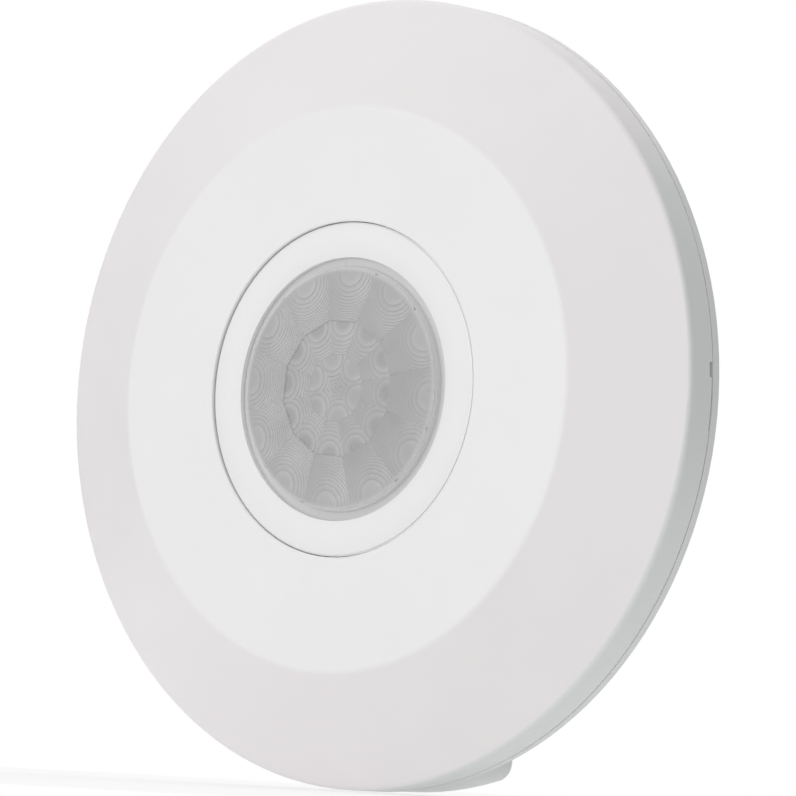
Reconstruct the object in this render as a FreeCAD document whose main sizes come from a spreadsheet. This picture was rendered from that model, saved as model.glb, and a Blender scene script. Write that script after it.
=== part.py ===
import FreeCAD, Part
import math
import operator
import os
import Sketcher

# Round motion sensor for a wall or ceiling, 120 mm across and 24.6 mm deep.
#
# Every sub-part is modelled looking at its own front: X to the right, Y up and Z out of the
# mounting face. Its Placement then stands it in the row frame, where the front faces -Y and
# the mounting face is the plane Y = 0 with the origin at its centre.
#
# From the mounting face outwards: a back box with a cable lobe at six o'clock and a thin
# flange; the circuit board; an inner housing that covers the board and carries the lens and
# its ring; three setting knobs; and a push-on front cover that leaves only the lens showing.

SIZES = {
    # The visible disc: a flat face, a conical band and a straight rim.
    "disc_diameter": 120.0,
    "flat_diameter": 85.0,
    "opening_diameter": 50.7,
    "rim_back": 9.3,
    "flange_thickness": 1.4,
    "parting_gap": 0.25,
    "rim_front": 16.0,
    "face_height": 23.15,
    "shell_wall": 1.8,
    "shell_wall_on_cone": 1.95,
    "rim_rounding": 1.0,
    "face_rounding": 1.5,
    "opening_rounding": 0.3,
    # Ribs that grip the collar, and the slot where a screwdriver prises the cover off.
    "grip_rib_width": 1.5,
    "grip_rib_length": 2.6,
    "grip_clearance": 0.1,
    "pry_slot_up": 4.9,
    "pry_slot_step": 2.7,
    "pry_slot_down": 5.2,
    "pry_slot_deep": 0.7,
    "pry_slot_shallow": 0.2,
    # The back box.
    "box_diameter": 96.0,
    "box_wall": 2.2,
    "box_chamfer": 0.8,
    "collar_diameter": 115.4,
    "collar_wall": 1.4,
    "collar_height": 3.0,
    "lobe_radius": 59.8,
    "lobe_half_width": 19.0,
    "lobe_corner": 3.0,
    "lobe_rounding": 0.9,
    "window_radius": 55.6,
    "flange_rib_reach": 57.0,
    "flange_rib_width": 1.2,
    "flange_rib_depth": 3.1,
    "slot_spacing": 60.0,
    "slot_length": 9.0,
    "slot_width": 4.5,
    "post_offset": 27.0,
    "base_post_diameter": 7.0,
    "pilot_depth": 4.5,
    "cable_hole_offset": 47.0,
    "cable_hole_diameter": 12.2,
    "cable_recess_diameter": 16.4,
    "cable_recess_depth": 1.0,
    # The grommet in the cable hole.
    "grommet_flange_diameter": 15.4,
    "grommet_neck_diameter": 12.0,
    "grommet_bore": 7.0,
    "grommet_lip": 1.1,
    # The circuit board.
    "board_diameter": 86.0,
    "board_bottom": 5.3,
    "board_thickness": 1.6,
    "board_notch_width": 36.0,
    "board_notch_edge": 39.8,
    "board_screw_offset": 40.0,
    "board_screw_boss": 5.5,
    "board_screw_hole": 2.2,
    # The inner housing.
    "housing_diameter": 90.8,
    "housing_wall": 1.4,
    "housing_bottom": 7.2,
    "housing_top": 20.9,
    "housing_shoulder": 3.8,
    "housing_shoulder_drop": 1.9,
    "shroud_radius": 17.2,
    "shroud_wall": 1.2,
    "seat_height": 21.2,
    "seat_radius": 22.9,
    "post_diameter": 7.0,
    "screw_seat": 9.9,
    "screw_access_diameter": 6.2,
    "screw_clearance_hole": 3.4,
    "wire_notch_half_width": 14.0,
    "wire_notch_top": 16.5,
    "terminal_window_half_width": 13.4,
    "terminal_window_near": 27.6,
    "terminal_window_far": 40.6,
    "knob_circle": 33.0,
    "knob_hole_diameter": 6.6,
    # The ring round the lens.
    "ring_diameter": 50.0,
    "aperture_diameter": 39.8,
    "ring_edge": 22.75,
    "ring_aperture_edge": 22.8,
    "ring_crown_radius": 8.0,
    "ring_underside": 22.03,
    "ring_skirt_inside": 23.1,
    "ring_foot": 20.95,
    "hook_inside": 23.35,
    "hook_outside": 24.75,
    "hook_half_width": 3.0,
    "hook_depth": 2.35,
    "hook_toe": 0.6,
    "hook_toe_depth": 0.7,
    "hook_clearance": 0.2,
    # The lens: a shallow dome with a flange under the ring.
    "lens_top": 24.6,
    "lens_dome_radius": 138.0,
    "lens_shoulder_radius": 17.9,
    "lens_shoulder_rounding": 0.9,
    "lens_foot_radius": 18.45,
    "lens_foot_height": 22.5,
    "lens_wall": 0.85,
    "lens_flange_radius": 22.3,
    "lens_flange_top": 21.98,
    "lens_flange_bottom": 21.22,
    # Setting knobs and the trimmers that they turn.
    "trimmer_side": 9.0,
    "trimmer_height": 5.0,
    "trimmer_well_diameter": 5.5,
    "trimmer_well_floor": 1.0,
    "knob_foot_diameter": 5.4,
    "knob_stem_diameter": 4.0,
    "knob_head_diameter": 6.0,
    "knob_head_height": 2.2,
    "knob_slot_width": 0.9,
    "knob_slot_depth": 1.1,
    # Detector, light sensor and lamp under the lens.
    "spacer_diameter": 10.4,
    "spacer_height": 3.0,
    "can_diameter": 8.2,
    "can_flange_diameter": 9.2,
    "can_height": 4.2,
    "can_flange_height": 0.6,
    "lead_circle": 2.54,
    "window_length": 4.0,
    "window_width": 3.0,
    "window_recess": 0.3,
    "can_rounding": 0.5,
    "can_lead_radius": 0.22,
    "spacer_hole_radius": 0.45,
    "window_slack": 0.04,
    "lead_depth": 0.2,
    "lead_radius": 0.25,
    "half_lead_pitch": 1.27,
    "cell_radius": 2.5,
    "cell_thickness": 1.9,
    "cell_lift": 4.6,
    "cell_lead_offset": 1.7,
    "lamp_radius": 1.5,
    "lamp_barrel_height": 3.4,
    "lamp_rim_radius": 1.85,
    "lamp_rim_height": 0.9,
    "lamp_lift": 1.6,
    # Relay, capacitors, varistor and fuse.
    "relay_length": 18.4,
    "relay_width": 10.2,
    "relay_height": 12.2,
    "relay_lift": 0.2,
    "film_length": 18.0,
    "film_width": 6.0,
    "film_height": 12.0,
    "filter_can_radius": 4.0,
    "filter_can_height": 11.5,
    "small_can_radius": 2.5,
    "small_can_height": 11.0,
    "can_groove_height": 1.7,
    "can_groove_radius": 0.45,
    "varistor_radius": 4.5,
    "varistor_thickness": 3.6,
    "varistor_centre_height": 6.6,
    "varistor_lead_across": 0.6,
    "varistor_lead_along": 2.2,
    "thick_lead_radius": 0.35,
    "fuse_radius": 4.1,
    "fuse_height": 7.6,
    "fuse_lift": 0.6,
    # Lying resistor and diodes.
    "series_radius": 1.75,
    "series_length": 9.0,
    "series_span": 13.0,
    "diode_radius": 1.35,
    "diode_length": 5.2,
    "diode_span": 10.0,
    "diode_wire": 0.3,
    "diode_row_x": -29.0,
    "diode_first_y": 11.7,
    "diode_spacing": 3.3,
    "axial_lift": 0.4,
    # Control chip, transistors and the tiny two-ended parts.
    "chip_length": 9.9,
    "chip_width": 3.9,
    "chip_height": 1.45,
    "chip_lift": 0.12,
    "chip_pitch": 1.27,
    "chip_leg_width": 0.4,
    "chip_leg_thickness": 0.2,
    "chip_leg_run": 0.7,
    "chip_leg_rise": 0.9,
    "package_radius": 2.35,
    "package_height": 4.7,
    "package_leg_height": 3.0,
    "package_flat_offset": 1.5,
    "tiny_arc_radius": 21.4,
    "tiny_length": 2.0,
    "tiny_width": 1.25,
    # Terminal block.
    "terminal_length": 25.4,
    "terminal_depth": 10.6,
    "terminal_height": 12.0,
    "terminal_centre": 34.1,
    "terminal_pitch": 8.0,
    "terminal_mouth_width": 5.2,
    "terminal_mouth_height": 5.4,
    "terminal_mouth_bottom": 1.4,
    "terminal_mouth_depth": 8.7,
    "terminal_well_diameter": 4.8,
    # Screws.
    "housing_screw_diameter": 2.96,
    "housing_screw_hole": 3.0,
    "housing_screw_length": 8.7,
    "housing_screw_head_diameter": 5.6,
    "housing_screw_head_height": 2.0,
    "board_screw_diameter": 1.96,
    "board_screw_pilot": 2.0,
    "board_screw_length": 7.5,
    "board_screw_head_diameter": 4.2,
    "board_screw_head_height": 1.3,
}

UP = FreeCAD.Vector(0, 0, 1)
ALONG_X = FreeCAD.Vector(1, 0, 0)
STAND_UP = FreeCAD.Rotation(ALONG_X, 90)
QUARTERS = ((1, 1), (-1, 1), (-1, -1), (1, -1))
OPERATIONS = {"+": operator.add, "-": operator.sub, "*": operator.mul, "/": operator.truediv}

document = FreeCAD.newDocument("MotionSensor")
nodes = []


# ---------------------------------------------------------------- sizes


class Size:
    """A number together with the spreadsheet expression that gives it."""

    def __init__(self, number, text):
        self.number = number
        self.text = text

    def __add__(self, other):
        return combine(self, "+", other)

    def __radd__(self, other):
        return combine(other, "+", self)

    def __sub__(self, other):
        return combine(self, "-", other)

    def __rsub__(self, other):
        return combine(other, "-", self)

    def __mul__(self, other):
        return combine(self, "*", other)

    def __rmul__(self, other):
        return combine(other, "*", self)

    def __truediv__(self, other):
        return combine(self, "/", other)

    def __neg__(self):
        return combine(0, "-", self)


class Sheet:
    """The spreadsheet's cells by name, each read as a Size."""

    def __getattr__(self, alias):
        return Size(SIZES[alias], f"Sizes.{alias}")


def combine(left, sign, right):
    sides = [side if isinstance(side, Size) else Size(side, repr(float(side))) for side in (left, right)]
    value = OPERATIONS[sign](sides[0].number, sides[1].number)
    return Size(value, f"({sides[0].text} {sign} {sides[1].text})")


def root(size):
    return Size(math.sqrt(size.number), f"sqrt({size.text})")


def sphere_height(sphere_radius, reach):
    """Height above a sphere's centre of the points at this distance from its axis."""
    return root(sphere_radius * sphere_radius - reach * reach)


def number(size):
    return size.number if isinstance(size, Size) else float(size)


def fill_spreadsheet():
    sheet = document.addObject("Spreadsheet::Sheet", "Sizes")
    for row, (alias, value) in enumerate(SIZES.items(), start=1):
        sheet.set(f"A{row}", alias)
        sheet.set(f"B{row}", str(value))
        sheet.setAlias(f"B{row}", alias)
    document.recompute()


def bind(thing, name, size):
    """Sets a property from a Size through an expression, or from a plain number."""
    if isinstance(size, Size):
        thing.setExpression(name, size.text)
    elif "." in name:
        thing.setExpression(name, repr(float(size)))
    else:
        setattr(thing, name, size)


S = Sheet()


# ---------------------------------------------------------------- placing


def stand(thing, label, x=0, y=0, z=0, turn=0):
    """Names a sub-part and stands it in the row frame: its own (x, y, z) becomes (x, -z, y)."""
    thing.Label = label
    thing.Placement = FreeCAD.Placement(
        FreeCAD.Vector(number(x), -number(z), number(y)),
        STAND_UP.multiply(FreeCAD.Rotation(UP, turn)),
    )
    for letter, size in (("x", x), ("y", -z), ("z", y)):
        if isinstance(size, Size):
            thing.setExpression(f"Placement.Base.{letter}", size.text)
    nodes.append(thing)
    return thing


# ---------------------------------------------------------------- sketches and features


def add_sketch(body, name, plane="XY_Plane", offset=0):
    """A sketch on one of the body's own origin planes, moved along that plane's normal."""
    sketch = body.newObject("Sketcher::SketchObject", name)
    support = next(item for item in body.Origin.OriginFeatures if item.Role == plane)
    sketch.AttachmentSupport = [(support, "")]
    sketch.MapMode = "FlatFace"
    bind(sketch, "AttachmentOffset.Base.z", offset)
    return sketch


def fix(sketch, kind, value, *where):
    """Adds a constraint whose value is bound to the spreadsheet."""
    index = sketch.addConstraint(Sketcher.Constraint(kind, *where, number(value)))
    if isinstance(value, Size):
        sketch.setExpression(f"Constraints[{index}]", value.text)


def fix_point(sketch, geometry, point, x, y):
    fix(sketch, "DistanceX", x, -1, 1, geometry, point)
    fix(sketch, "DistanceY", y, -1, 1, geometry, point)


def arc_between(start, end, radius):
    """The short arc from start to end. A positive radius turns left on the way, a negative one right."""
    side = math.copysign(1.0, radius)
    chord = end - start
    middle = start + chord * 0.5
    left = FreeCAD.Vector(-chord.y, chord.x, 0).normalize()
    reach = math.sqrt(radius**2 - (chord.Length / 2) ** 2)
    through = middle - left * side * (abs(radius) - reach)
    return Part.ArcOfCircle(start, through, end)


def draw_outline(sketch, corners):
    """A closed outline. A corner is (x, y), or (x, y, radius) where an arc leads on to the next."""
    points = [FreeCAD.Vector(number(corner[0]), number(corner[1]), 0) for corner in corners]
    first = sketch.GeometryCount
    ends = []
    for index, corner in enumerate(corners):
        start = points[index]
        end = points[(index + 1) % len(points)]
        if len(corner) == 2:
            sketch.addGeometry(Part.LineSegment(start, end))
            ends.append((1, 2))
        else:
            sketch.addGeometry(arc_between(start, end, number(corner[2])))
            ends.append((1, 2) if number(corner[2]) > 0 else (2, 1))
    for index, corner in enumerate(corners):
        following = (index + 1) % len(corners)
        joint = (first + index, ends[index][1], first + following, ends[following][0])
        sketch.addConstraint(Sketcher.Constraint("Coincident", *joint))
        fix_point(sketch, first + index, ends[index][0], corner[0], corner[1])
        if len(corner) == 3:
            radius = corner[2] if number(corner[2]) > 0 else -corner[2]
            fix(sketch, "Radius", radius, first + index)


def draw_rectangle(sketch, left, bottom, right, top):
    draw_outline(sketch, [(left, bottom), (right, bottom), (right, top), (left, top)])


def draw_circle(sketch, x, y, radius):
    centre = FreeCAD.Vector(number(x), number(y), 0)
    circle = sketch.addGeometry(Part.Circle(centre, UP, number(radius)))
    fix_point(sketch, circle, 3, x, y)
    fix(sketch, "Radius", radius, circle)


def draw_slot(sketch, x, length, width):
    """A round-ended slot along the sketch's first axis, centred at (x, 0)."""
    radius = width / 2
    reach = (length - width) / 2
    ends = []
    for centre, first_angle in ((x + reach, -90), (x - reach, 90)):
        circle = Part.Circle(FreeCAD.Vector(number(centre), 0, 0), UP, number(radius))
        start = math.radians(first_angle)
        arc = sketch.addGeometry(Part.ArcOfCircle(circle, start, start + math.pi))
        fix_point(sketch, arc, 3, centre, 0)
        fix(sketch, "Radius", radius, arc)
        ends.append((arc, centre))
    (right, right_x), (left, left_x) = ends
    for side, near, far in ((1, (right, 2), (left, 1)), (-1, (left, 2), (right, 1))):
        near_x = right_x if near[0] == right else left_x
        far_x = left_x if near[0] == right else right_x
        start = FreeCAD.Vector(number(near_x), side * number(radius), 0)
        end = FreeCAD.Vector(number(far_x), side * number(radius), 0)
        line = sketch.addGeometry(Part.LineSegment(start, end))
        sketch.addConstraint(Sketcher.Constraint("Tangent", near[0], near[1], line, 1))
        sketch.addConstraint(Sketcher.Constraint("Tangent", far[0], far[1], line, 2))


def add_body(name):
    return document.addObject("PartDesign::Body", f"{name}_body")


def revolve(body, name, corners):
    """Turns an outline of (radius, height) corners once round the body's Z axis."""
    sketch = add_sketch(body, f"{name}_profile", "XZ_Plane")
    draw_outline(sketch, corners)
    feature = body.newObject("PartDesign::Revolution", name)
    feature.Profile = sketch
    feature.ReferenceAxis = (sketch, ["V_Axis"])
    feature.Angle = 360
    sketch.Visibility = False
    return feature


def pad(body, name, sketch, length, backwards=False):
    feature = body.newObject("PartDesign::Pad", name)
    feature.Profile = sketch
    feature.Reversed = backwards
    bind(feature, "Length", length)
    return feature


def pocket(body, name, sketch, depth, forwards=False):
    """Cuts against the sketch's normal, or along it when forwards."""
    feature = body.newObject("PartDesign::Pocket", name)
    feature.Profile = sketch
    feature.Reversed = forwards
    bind(feature, "Length", depth)
    return feature


def round_pattern(body, name, originals, count):
    feature = body.newObject("PartDesign::PolarPattern", name)
    axis = next(item for item in body.Origin.OriginFeatures if item.Role == "Z_Axis")
    feature.Originals = originals
    feature.Axis = (axis, [""])
    feature.Angle = 360
    feature.Occurrences = count
    body.Tip = feature
    return feature


def round_edges(body, name, radius, is_wanted):
    """Fillets the edges of the body's last feature that is_wanted picks."""
    document.recompute()
    base = body.Tip
    wanted = [f"Edge{i}" for i, edge in enumerate(base.Shape.Edges, start=1) if is_wanted(edge)]
    if not wanted:
        raise RuntimeError(f"{name} found no edge to round")
    feature = body.newObject("PartDesign::Fillet", name)
    feature.Base = (base, wanted)
    bind(feature, "Radius", radius)
    return feature


def ring_edge(radius, height):
    """Picks the full circle of this radius about the axis at this height."""

    def is_wanted(edge):
        curve = edge.Curve
        if curve.TypeId != "Part::GeomCircle":
            return False
        near_size = abs(curve.Radius - number(radius)) < 0.01
        return near_size and abs(curve.Center.z - number(height)) < 0.01

    return is_wanted


# ---------------------------------------------------------------- primitives


def primitive(kind, name, at=(0, 0, 0), axis=UP, **sizes):
    """A Part primitive at a point, with its Z axis turned to the given axis."""
    thing = document.addObject(f"Part::{kind}", name)
    for property_name, size in sizes.items():
        bind(thing, property_name, size)
    place = FreeCAD.Vector(*[number(value) for value in at])
    thing.Placement = FreeCAD.Placement(place, FreeCAD.Rotation(UP, axis))
    for letter, value in zip("xyz", at):
        if isinstance(value, Size):
            thing.setExpression(f"Placement.Base.{letter}", value.text)
    return thing


def cylinder(name, radius, height, at=(0, 0, 0), axis=UP):
    return primitive("Cylinder", name, at, axis, Radius=radius, Height=height)


def block(name, length, width, height, at=(0, 0, 0)):
    """A box centred over the point at, standing on it."""
    corner = (at[0] - length / 2, at[1] - width / 2, at[2])
    return primitive("Box", name, corner, Length=length, Width=width, Height=height)


def fuse(name, shapes):
    thing = document.addObject("Part::MultiFuse", name)
    thing.Shapes = shapes
    return thing


def cut(name, base, tools):
    thing = document.addObject("Part::Cut", name)
    thing.Base = base
    thing.Tool = tools[0] if len(tools) == 1 else fuse(f"{name}_tools", tools)
    return thing


def group(name, members):
    """Separate solids that share one node."""
    thing = document.addObject("Part::Compound", name)
    thing.Links = members
    return thing


def soften(name, base, radius, is_wanted):
    """Fillets the edges of a primitive that is_wanted picks."""
    document.recompute()
    wanted = [i for i, edge in enumerate(base.Shape.Edges, start=1) if is_wanted(edge)]
    thing = document.addObject("Part::Fillet", name)
    thing.Base = base
    thing.Edges = [(index, radius, radius) for index in wanted]
    return thing


def above(height):
    """Picks every edge that lies wholly above this height, and the upright ones that reach it."""

    def is_wanted(edge):
        return edge.BoundBox.ZMax > height + 0.01

    return is_wanted


# ---------------------------------------------------------------- levels shared by several parts


def disc_radius():
    return S.disc_diameter / 2


def flange_front():
    return S.rim_back + S.flange_thickness


def board_top():
    return S.board_bottom + S.board_thickness


def knob_places():
    """Name, centre and turn of the three settings, side by side above the lens."""
    for name, angle in (("sensitivity", 120), ("lux", 90), ("time", 60)):
        reach = math.radians(angle)
        yield name, S.knob_circle * math.cos(reach), S.knob_circle * math.sin(reach), angle - 90


# ---------------------------------------------------------------- casing


def lobe_outline(sketch, half_width, radius, corner, inner_end):
    """The cable lobe in plan: straight sides, rounded corners and an outer arc about the axis."""
    centre_x = half_width - corner
    centre_y = root((radius - corner) * (radius - corner) - centre_x * centre_x)
    stretch = radius / (radius - corner)
    draw_outline(
        sketch,
        [
            (-half_width, -inner_end),
            (-half_width, -centre_y, corner),
            (-(centre_x * stretch), -(centre_y * stretch), radius),
            (centre_x * stretch, -(centre_y * stretch), corner),
            (half_width, -centre_y),
            (half_width, -inner_end),
        ],
    )


def make_rear_base():
    """Back box, cable lobe, flange and locating collar in one moulding."""
    body = add_body("rear_base")
    box = S.box_diameter / 2
    cavity = box - S.box_wall
    collar = S.collar_diameter / 2
    lobe_start = cavity - 2.8
    lobe = add_sketch(body, "lobe_plan")
    lobe_outline(lobe, S.lobe_half_width, S.lobe_radius, S.lobe_corner, lobe_start)
    pad(body, "lobe", lobe, S.rim_back)
    round_edges(body, "lobe_back_edge", S.lobe_rounding, is_outer_back_edge)
    revolve(
        body,
        "box_and_flange",
        [
            (0, 0),
            (box - S.box_chamfer, 0),
            (box, S.box_chamfer),
            (box, S.rim_back),
            (disc_radius(), S.rim_back),
            (disc_radius(), flange_front()),
            (collar, flange_front()),
            (collar, flange_front() + S.collar_height),
            (collar - S.collar_wall, flange_front() + S.collar_height),
            (collar - S.collar_wall, flange_front()),
            (cavity, flange_front()),
            (cavity, S.box_wall),
            (0, S.box_wall),
        ],
    )
    add_flange_ribs(body, box)
    cut_lobe_space(body, cavity - 3.8)
    add_base_posts(body)
    cut_base_holes(body)
    return stand(body, "rear_base")


def is_outer_back_edge(edge):
    """Edges of the lobe on the mounting face, except the inner end that the box swallows."""
    box = edge.BoundBox
    on_back = box.ZMax < 0.01
    inner_end = box.YMax - box.YMin < 0.01
    return on_back and not inner_end


def add_flange_ribs(body, box):
    """Thin gussets between the box's side and the back of the flange."""
    rib = add_sketch(body, "flange_rib_profile", "XZ_Plane", -S.flange_rib_width / 2)
    buried = 0.2
    draw_outline(
        rib,
        [
            (box - 1, S.rim_back - S.flange_rib_depth),
            (S.flange_rib_reach, S.rim_back - 0.6),
            (S.flange_rib_reach, S.rim_back + buried),
            (box - 1, S.rim_back + buried),
        ],
    )
    first = pad(body, "flange_rib", rib, S.flange_rib_width)
    round_pattern(body, "flange_ribs", [first], 20)


def cut_lobe_space(body, inner_end):
    """Hollows the lobe into the box, and opens it forwards through the flange."""
    inside = S.lobe_half_width - S.box_wall
    space = add_sketch(body, "lobe_space_plan", offset=S.rim_back)
    lobe_outline(space, inside, S.lobe_radius - S.box_wall, S.lobe_corner - S.box_wall, inner_end)
    pocket(body, "lobe_space", space, S.rim_back - S.box_wall)
    window = add_sketch(body, "lobe_window_plan", offset=flange_front())
    lobe_outline(window, inside, S.window_radius, S.lobe_corner - S.box_wall, inner_end)
    pocket(body, "lobe_window", window, S.flange_thickness + 0.01)


def add_base_posts(body):
    """Four posts that the board rests on, with pilot holes for the housing screws."""
    posts = add_sketch(body, "post_circles", offset=S.box_wall)
    for side, rise in QUARTERS:
        draw_circle(posts, S.post_offset * side, S.post_offset * rise, S.base_post_diameter / 2)
    pad(body, "posts", posts, S.board_bottom - S.box_wall)
    pilots = add_sketch(body, "pilot_circles", offset=S.board_bottom)
    for side, rise in QUARTERS:
        draw_circle(pilots, S.post_offset * side, S.post_offset * rise, S.housing_screw_hole / 2)
    pocket(body, "pilots", pilots, S.pilot_depth)


def cut_base_holes(body):
    """Two slotted wall-screw holes, and the cable hole with a recess behind for its grommet."""
    slots = add_sketch(body, "wall_slot_plan", offset=S.box_wall)
    for side in (1, -1):
        draw_slot(slots, S.slot_spacing * side / 2, S.slot_length, S.slot_width)
    pocket(body, "wall_slots", slots, S.box_wall)
    hole = add_sketch(body, "cable_hole_circle", offset=S.box_wall)
    draw_circle(hole, 0, -S.cable_hole_offset, S.cable_hole_diameter / 2)
    pocket(body, "cable_hole", hole, S.box_wall)
    recess = add_sketch(body, "cable_recess_circle", offset=S.cable_recess_depth)
    draw_circle(recess, 0, -S.cable_hole_offset, S.cable_recess_diameter / 2)
    pocket(body, "cable_recess", recess, S.cable_recess_depth)


def make_cable_grommet():
    """Rubber ring clipped into the cable hole: a flange each side of the wall and a soft lip."""
    body = add_body("cable_grommet")
    flange = S.grommet_flange_diameter / 2
    neck = S.grommet_neck_diameter / 2
    bore = S.grommet_bore / 2
    wall_back = S.cable_recess_depth
    revolve(
        body,
        "grommet",
        [
            (bore, 0.1),
            (flange, 0.1),
            (flange, wall_back),
            (neck, wall_back),
            (neck, S.box_wall),
            (flange - 0.4, S.box_wall),
            (flange - 0.9, S.box_wall + S.grommet_lip),
            (bore + 0.9, S.box_wall + S.grommet_lip + 0.3),
            (bore, S.box_wall),
        ],
    )
    return stand(body, "cable_grommet", 0, -S.cable_hole_offset, 0)


def make_front_cover():
    """The disc that shows: a thin shell with a lens opening, pushed over the base's collar."""
    body = add_body("front_cover")
    disc = disc_radius()
    flat = S.flat_diameter / 2
    opening = S.opening_diameter / 2
    slope = (S.face_height - S.rim_front) / (disc - flat)
    skirt_back = flange_front() + S.parting_gap
    skirt_inside = disc - S.shell_wall
    under_face = S.face_height - S.shell_wall
    inner_flat = flat - (S.shell_wall_on_cone - S.shell_wall) / slope
    inner_edge = S.face_height - S.shell_wall_on_cone - slope * (skirt_inside - flat)
    revolve(
        body,
        "shell",
        [
            (opening, S.face_height),
            (opening, under_face),
            (inner_flat, under_face),
            (skirt_inside, inner_edge),
            (skirt_inside, skirt_back),
            (disc, skirt_back),
            (disc, S.rim_front),
            (flat, S.face_height),
        ],
    )
    round_edges(body, "rim_edge", S.rim_rounding, ring_edge(disc, S.rim_front))
    round_edges(body, "face_edge", S.face_rounding, ring_edge(flat, S.face_height))
    round_edges(body, "opening_edge", S.opening_rounding, ring_edge(opening, S.face_height))
    add_grip_ribs(body, skirt_inside, skirt_back)
    cut_pry_slot(body, disc, skirt_back)
    return stand(body, "front_cover")


def add_grip_ribs(body, skirt_inside, skirt_back):
    """Short ribs inside the skirt that grip the base's collar."""
    buried = 0.4
    rib = add_sketch(body, "grip_rib_plan", offset=skirt_back + 0.4)
    draw_rectangle(
        rib,
        S.collar_diameter / 2 + S.grip_clearance,
        -S.grip_rib_width / 2,
        skirt_inside + buried,
        S.grip_rib_width / 2,
    )
    first = pad(body, "grip_rib", rib, S.grip_rib_length)
    round_pattern(body, "grip_ribs", [first], 12)


def cut_pry_slot(body, disc, skirt_back):
    """A stepped slot at three o'clock in the skirt's back edge, deeper at its upper end."""
    outside = 1.0
    slot = add_sketch(body, "pry_slot_profile", "YZ_Plane", disc + outside)
    below = skirt_back - outside
    draw_outline(
        slot,
        [
            (-S.pry_slot_down, below),
            (S.pry_slot_up, below),
            (S.pry_slot_up, skirt_back + S.pry_slot_deep),
            (S.pry_slot_step, skirt_back + S.pry_slot_deep),
            (S.pry_slot_step, skirt_back + S.pry_slot_shallow),
            (-S.pry_slot_down, skirt_back + S.pry_slot_shallow),
        ],
    )
    pocket(body, "pry_slot", slot, outside + S.shell_wall + 0.6)


def make_inner_housing():
    """White housing over the board, with the lens seat and a light-tight shroud in the middle."""
    body = add_body("inner_housing")
    outer = S.housing_diameter / 2
    inner = outer - S.housing_wall
    under_top = S.housing_top - S.housing_wall
    shroud_outside = S.shroud_radius + S.shroud_wall
    shoulder = outer - S.housing_shoulder
    inner_shoulder = inner - S.housing_shoulder
    revolve(
        body,
        "housing_shell",
        [
            (S.shroud_radius, S.housing_bottom + 0.4),
            (shroud_outside, S.housing_bottom + 0.4),
            (shroud_outside, under_top),
            (inner_shoulder, under_top),
            (inner, under_top - S.housing_shoulder_drop),
            (inner, S.housing_bottom),
            (outer, S.housing_bottom),
            (outer, S.housing_top - S.housing_shoulder_drop),
            (shoulder, S.housing_top),
            (S.seat_radius, S.housing_top),
            (S.seat_radius, S.seat_height),
            (S.shroud_radius, S.seat_height),
        ],
    )
    add_housing_posts(body, under_top)
    cut_housing_windows(body)
    return stand(body, "inner_housing")


def add_housing_posts(body, under_top):
    """Hollow posts for the housing screws and solid bosses for the board screws."""
    posts = add_sketch(body, "housing_post_circles", offset=board_top())
    for side, rise in QUARTERS:
        draw_circle(posts, S.post_offset * side, S.post_offset * rise, S.post_diameter / 2)
    for side in (1, -1):
        draw_circle(posts, S.board_screw_offset * side, 0, S.board_screw_boss / 2)
    pad(body, "housing_posts", posts, under_top - board_top() + 0.2)
    access = add_sketch(body, "screw_access_circles", offset=S.housing_top)
    through = add_sketch(body, "screw_hole_circles", offset=S.screw_seat)
    for side, rise in QUARTERS:
        place = (S.post_offset * side, S.post_offset * rise)
        draw_circle(access, *place, S.screw_access_diameter / 2)
        draw_circle(through, *place, S.screw_clearance_hole / 2)
    pocket(body, "screw_access", access, S.housing_top - S.screw_seat)
    pocket(body, "screw_holes", through, S.screw_seat - board_top())
    pilots = add_sketch(body, "board_pilot_circles", offset=board_top())
    for side in (1, -1):
        draw_circle(pilots, S.board_screw_offset * side, 0, S.board_screw_pilot / 2)
    pocket(body, "board_pilots", pilots, S.board_screw_length, forwards=True)


def cut_housing_windows(body):
    """Holes for the knobs, the terminals, the wires and the lens ring's hooks."""
    knobs = add_sketch(body, "knob_hole_circles", offset=S.housing_top)
    for _, x, y, _ in knob_places():
        draw_circle(knobs, x, y, S.knob_hole_diameter / 2)
    pocket(body, "knob_holes", knobs, S.housing_wall)
    terminals = add_sketch(body, "terminal_window_plan", offset=S.housing_top)
    half = S.terminal_window_half_width
    draw_rectangle(terminals, -half, -S.terminal_window_far, half, -S.terminal_window_near)
    pocket(body, "terminal_window", terminals, S.housing_wall)
    wires = add_sketch(body, "wire_notch_plan", offset=S.wire_notch_top)
    half = S.wire_notch_half_width
    outside = S.housing_diameter / 2 + 1
    draw_rectangle(wires, -half, -outside, half, -(S.terminal_window_far + 0.2))
    pocket(body, "wire_notch", wires, S.wire_notch_top - S.housing_bottom)
    hooks = add_sketch(body, "hook_slot_plan", offset=S.housing_top)
    draw_rectangle(
        hooks,
        S.hook_inside - S.hook_clearance,
        -(S.hook_half_width + S.hook_clearance),
        S.hook_outside + S.hook_clearance,
        S.hook_half_width + S.hook_clearance,
    )
    first = pocket(body, "hook_slot", hooks, S.housing_wall)
    round_pattern(body, "hook_slots", [first], 3)


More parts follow.
